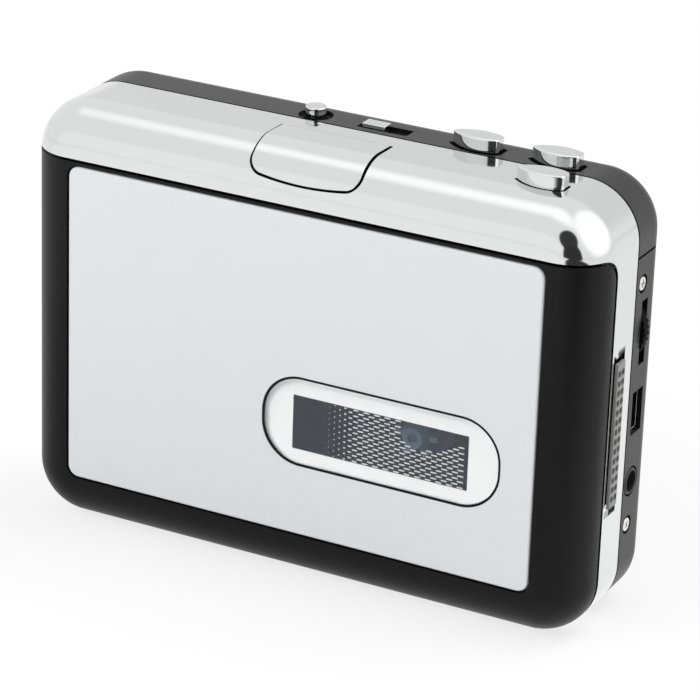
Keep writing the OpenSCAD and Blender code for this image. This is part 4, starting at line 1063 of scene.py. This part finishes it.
# The belt and the pinch rollers' tyres are black rubber, ground to a dull face.
# The board is green glass-fibre laminate under a glossy solder mask.
rubber = finish("rubber", (0.02, 0.02, 0.02), 0.75, grain=0.2, bump=0.01, vary=0.15)
dress(rubber, "drive_belt", "left_pinch_roller", "right_pinch_roller")
dress(finish("solder mask", (0.02, 0.13, 0.06), 0.3, grain=1.2, bump=0.006, vary=0.2), "circuit_board")

# The studio is a white sweep under a white sky. Camera, chrome and glass see it at full white,
# and the floor keeps a soft share of real light, so that the player's shadow stays on it.
floor_size = 8
floor_form = bmesh.new()
bmesh.ops.create_grid(floor_form, x_segments=1, y_segments=1, size=floor_size / 2)
floor = as_object(floor_form, "floor")


def plain_sight(tree):
    """A socket that is 1 for rays from the camera, a mirror or glass, and 0 for other rays."""
    path = tree.nodes.new("ShaderNodeLightPath")
    seen = None
    for ray in ("Is Camera Ray", "Is Glossy Ray", "Is Transmission Ray"):
        if seen is None:
            seen = path.outputs[ray]
            continue
        either = tree.nodes.new("ShaderNodeMath")
        either.operation = "MAXIMUM"
        tree.links.new(seen, either.inputs[0])
        tree.links.new(path.outputs[ray], either.inputs[1])
        seen = either.outputs["Value"]
    return seen


floor_glow = 0.76
floor_white = finish("floor white", (0.92, 0.92, 0.92), 0.8, grain=80, bump=0, vary=0.005,
                     Specular_IOR_Level=0.0)
floor.data.materials.append(floor_white)
floor_tree = floor_white.node_tree
floor_shine = floor_tree.nodes.new("ShaderNodeEmission")
floor_share = floor_tree.nodes.new("ShaderNodeMath")
floor_share.operation = "MULTIPLY"
floor_share.inputs[1].default_value = floor_glow
floor_blend = floor_tree.nodes.new("ShaderNodeMixShader")
floor_tree.links.new(plain_sight(floor_tree), floor_share.inputs[0])
floor_tree.links.new(floor_share.outputs["Value"], floor_blend.inputs["Fac"])
floor_tree.links.new(floor_tree.nodes["Principled BSDF"].outputs["BSDF"], floor_blend.inputs[1])
floor_tree.links.new(floor_shine.outputs["Emission"], floor_blend.inputs[2])
floor_tree.links.new(floor_blend.outputs["Shader"], floor_tree.nodes["Material Output"].inputs["Surface"])

sky_light = 0.6
world = bpy.data.worlds.new("studio")
scene.world = world
world.use_nodes = True
sky = world.node_tree.nodes["Background"]
sky.inputs["Color"].default_value = (1, 1, 1, 1)
strength = world.node_tree.nodes.new("ShaderNodeMapRange")
strength.inputs["To Min"].default_value = sky_light
strength.inputs["To Max"].default_value = 1
world.node_tree.links.new(plain_sight(world.node_tree), strength.inputs["Value"])
world.node_tree.links.new(strength.outputs["Result"], sky.inputs["Strength"])

# Two soft boxes light the player: a large one in front on the left, and a smaller one overhead behind it.
# Neither shows in the chrome, which mirrors the cards instead.
front_box = ("front box", (-0.75, -1.0, 1.0), 1.0, 11)
top_box = ("top box", (0.5, 0.45, 1.3), 0.8, 9)
for name, place, size, power in (front_box, top_box):
    lamp = bpy.data.lights.new(name, "AREA")
    lamp.size = size
    lamp.energy = power
    box = bpy.data.objects.new(name, lamp)
    box.location = place
    box.rotation_mode = "QUATERNION"
    box.rotation_quaternion = (aim - Vector(place)).to_track_quat("-Z", "Y")
    box.visible_glossy = False
    scene.collection.objects.link(box)


# Cards out of the picture, which only the chrome and the gloss see: pale grey behind, brighter above, a
# darker patch on the floor close to the player that stands in for its shadow as painted shadow, and the dark
# shape of the camera on its stand in front of it.
def card(name, place, width, height, shade, fade, turn=None):
    """A soft-edged board, seen only in reflections, that faces the player, or lies flat if given a turn."""
    form = bmesh.new()
    bmesh.ops.create_grid(form, x_segments=1, y_segments=1, size=1)
    board = as_object(form, name)
    board.location = place
    board.scale = (width / 2, height / 2, 1)
    board.rotation_mode = "QUATERNION"
    if turn is None:
        board.rotation_quaternion = (Vector(place) - aim).to_track_quat("Z", "Y")
    else:
        board.rotation_quaternion = Quaternion((0, 0, 1), turn)
    paint = bpy.data.materials.new(name)
    paint.use_nodes = True
    nodes, links = paint.node_tree.nodes, paint.node_tree.links
    coordinates = nodes.new("ShaderNodeTexCoord")
    from_middle = nodes.new("ShaderNodeVectorMath")
    from_middle.operation = "LENGTH"
    edge = nodes.new("ShaderNodeMapRange")
    edge.interpolation_type = "SMOOTHSTEP"
    edge.inputs["From Min"].default_value = 1 - fade
    edge.inputs["From Max"].default_value = 1
    glow = nodes.new("ShaderNodeEmission")
    glow.inputs["Color"].default_value = (shade, shade, shade, 1)
    clear = nodes.new("ShaderNodeBsdfTransparent")
    blend = nodes.new("ShaderNodeMixShader")
    links.new(coordinates.outputs["Object"], from_middle.inputs[0])
    links.new(from_middle.outputs["Value"], edge.inputs["Value"])
    links.new(edge.outputs["Result"], blend.inputs["Fac"])
    links.new(glow.outputs["Emission"], blend.inputs[1])
    links.new(clear.outputs["BSDF"], blend.inputs[2])
    links.new(blend.outputs["Shader"], nodes["Material Output"].inputs["Surface"])
    board.data.materials.append(paint)
    board.visible_camera = False
    board.visible_diffuse = False
    board.visible_shadow = False
    board.visible_transmission = False


layer = 0.1 * MM
up = Vector((0, 0, 1))
sideways = level.cross(up)
foot_spot = level * 0.64 - sideways * 0.1
camera_spot = aim + away * 0.9 + sideways * 0.02 + up * 0.1
stand_spot = aim + away * 0.95 - sideways * 0.06 - up * 0.4
card("rear board", (0, 1.4, 0.68), 3.2, 1.4, 0.86, 0.6)
card("top board", (-0.15, -0.34, 1.65), 3.2, 1.2, 1.42, 0.8)
card("right board", (0.72, 0.13, 0.56), 1.8, 1.8, 1.6, 0.6)
card("front board", (-0.1, -0.3, 4 * layer), 1.4, 0.52, 1.09, 0.5, turn=0)
card("side glow", (0.09, 0.05, 6 * layer), 0.22, 0.22, 1.1, 0.8, turn=0)
card("front wall", (-0.8, -1.8, 0.35), 3.6, 1.6, 1.09, 0.4)
card("stand foot", (foot_spot.x, foot_spot.y, 8 * layer), 0.42, 1.1, 0.04, 0.2, turn=azimuth)
# This patch is painted shadow: it stands in for the player's shadow close to it, seen only in reflections.
card("painted shadow patch", (-0.02, -0.075, 5 * layer), 0.34, 0.2, 0.5, 0.8, turn=0)
card("camera", camera_spot, 0.66, 0.74, 0.05, 0.2)
card("stand", stand_spot, 0.72, 1.0, 0.04, 0.2)

# The picture is shown without a film look, so that white stays white.
scene.view_settings.view_transform = "Standard"
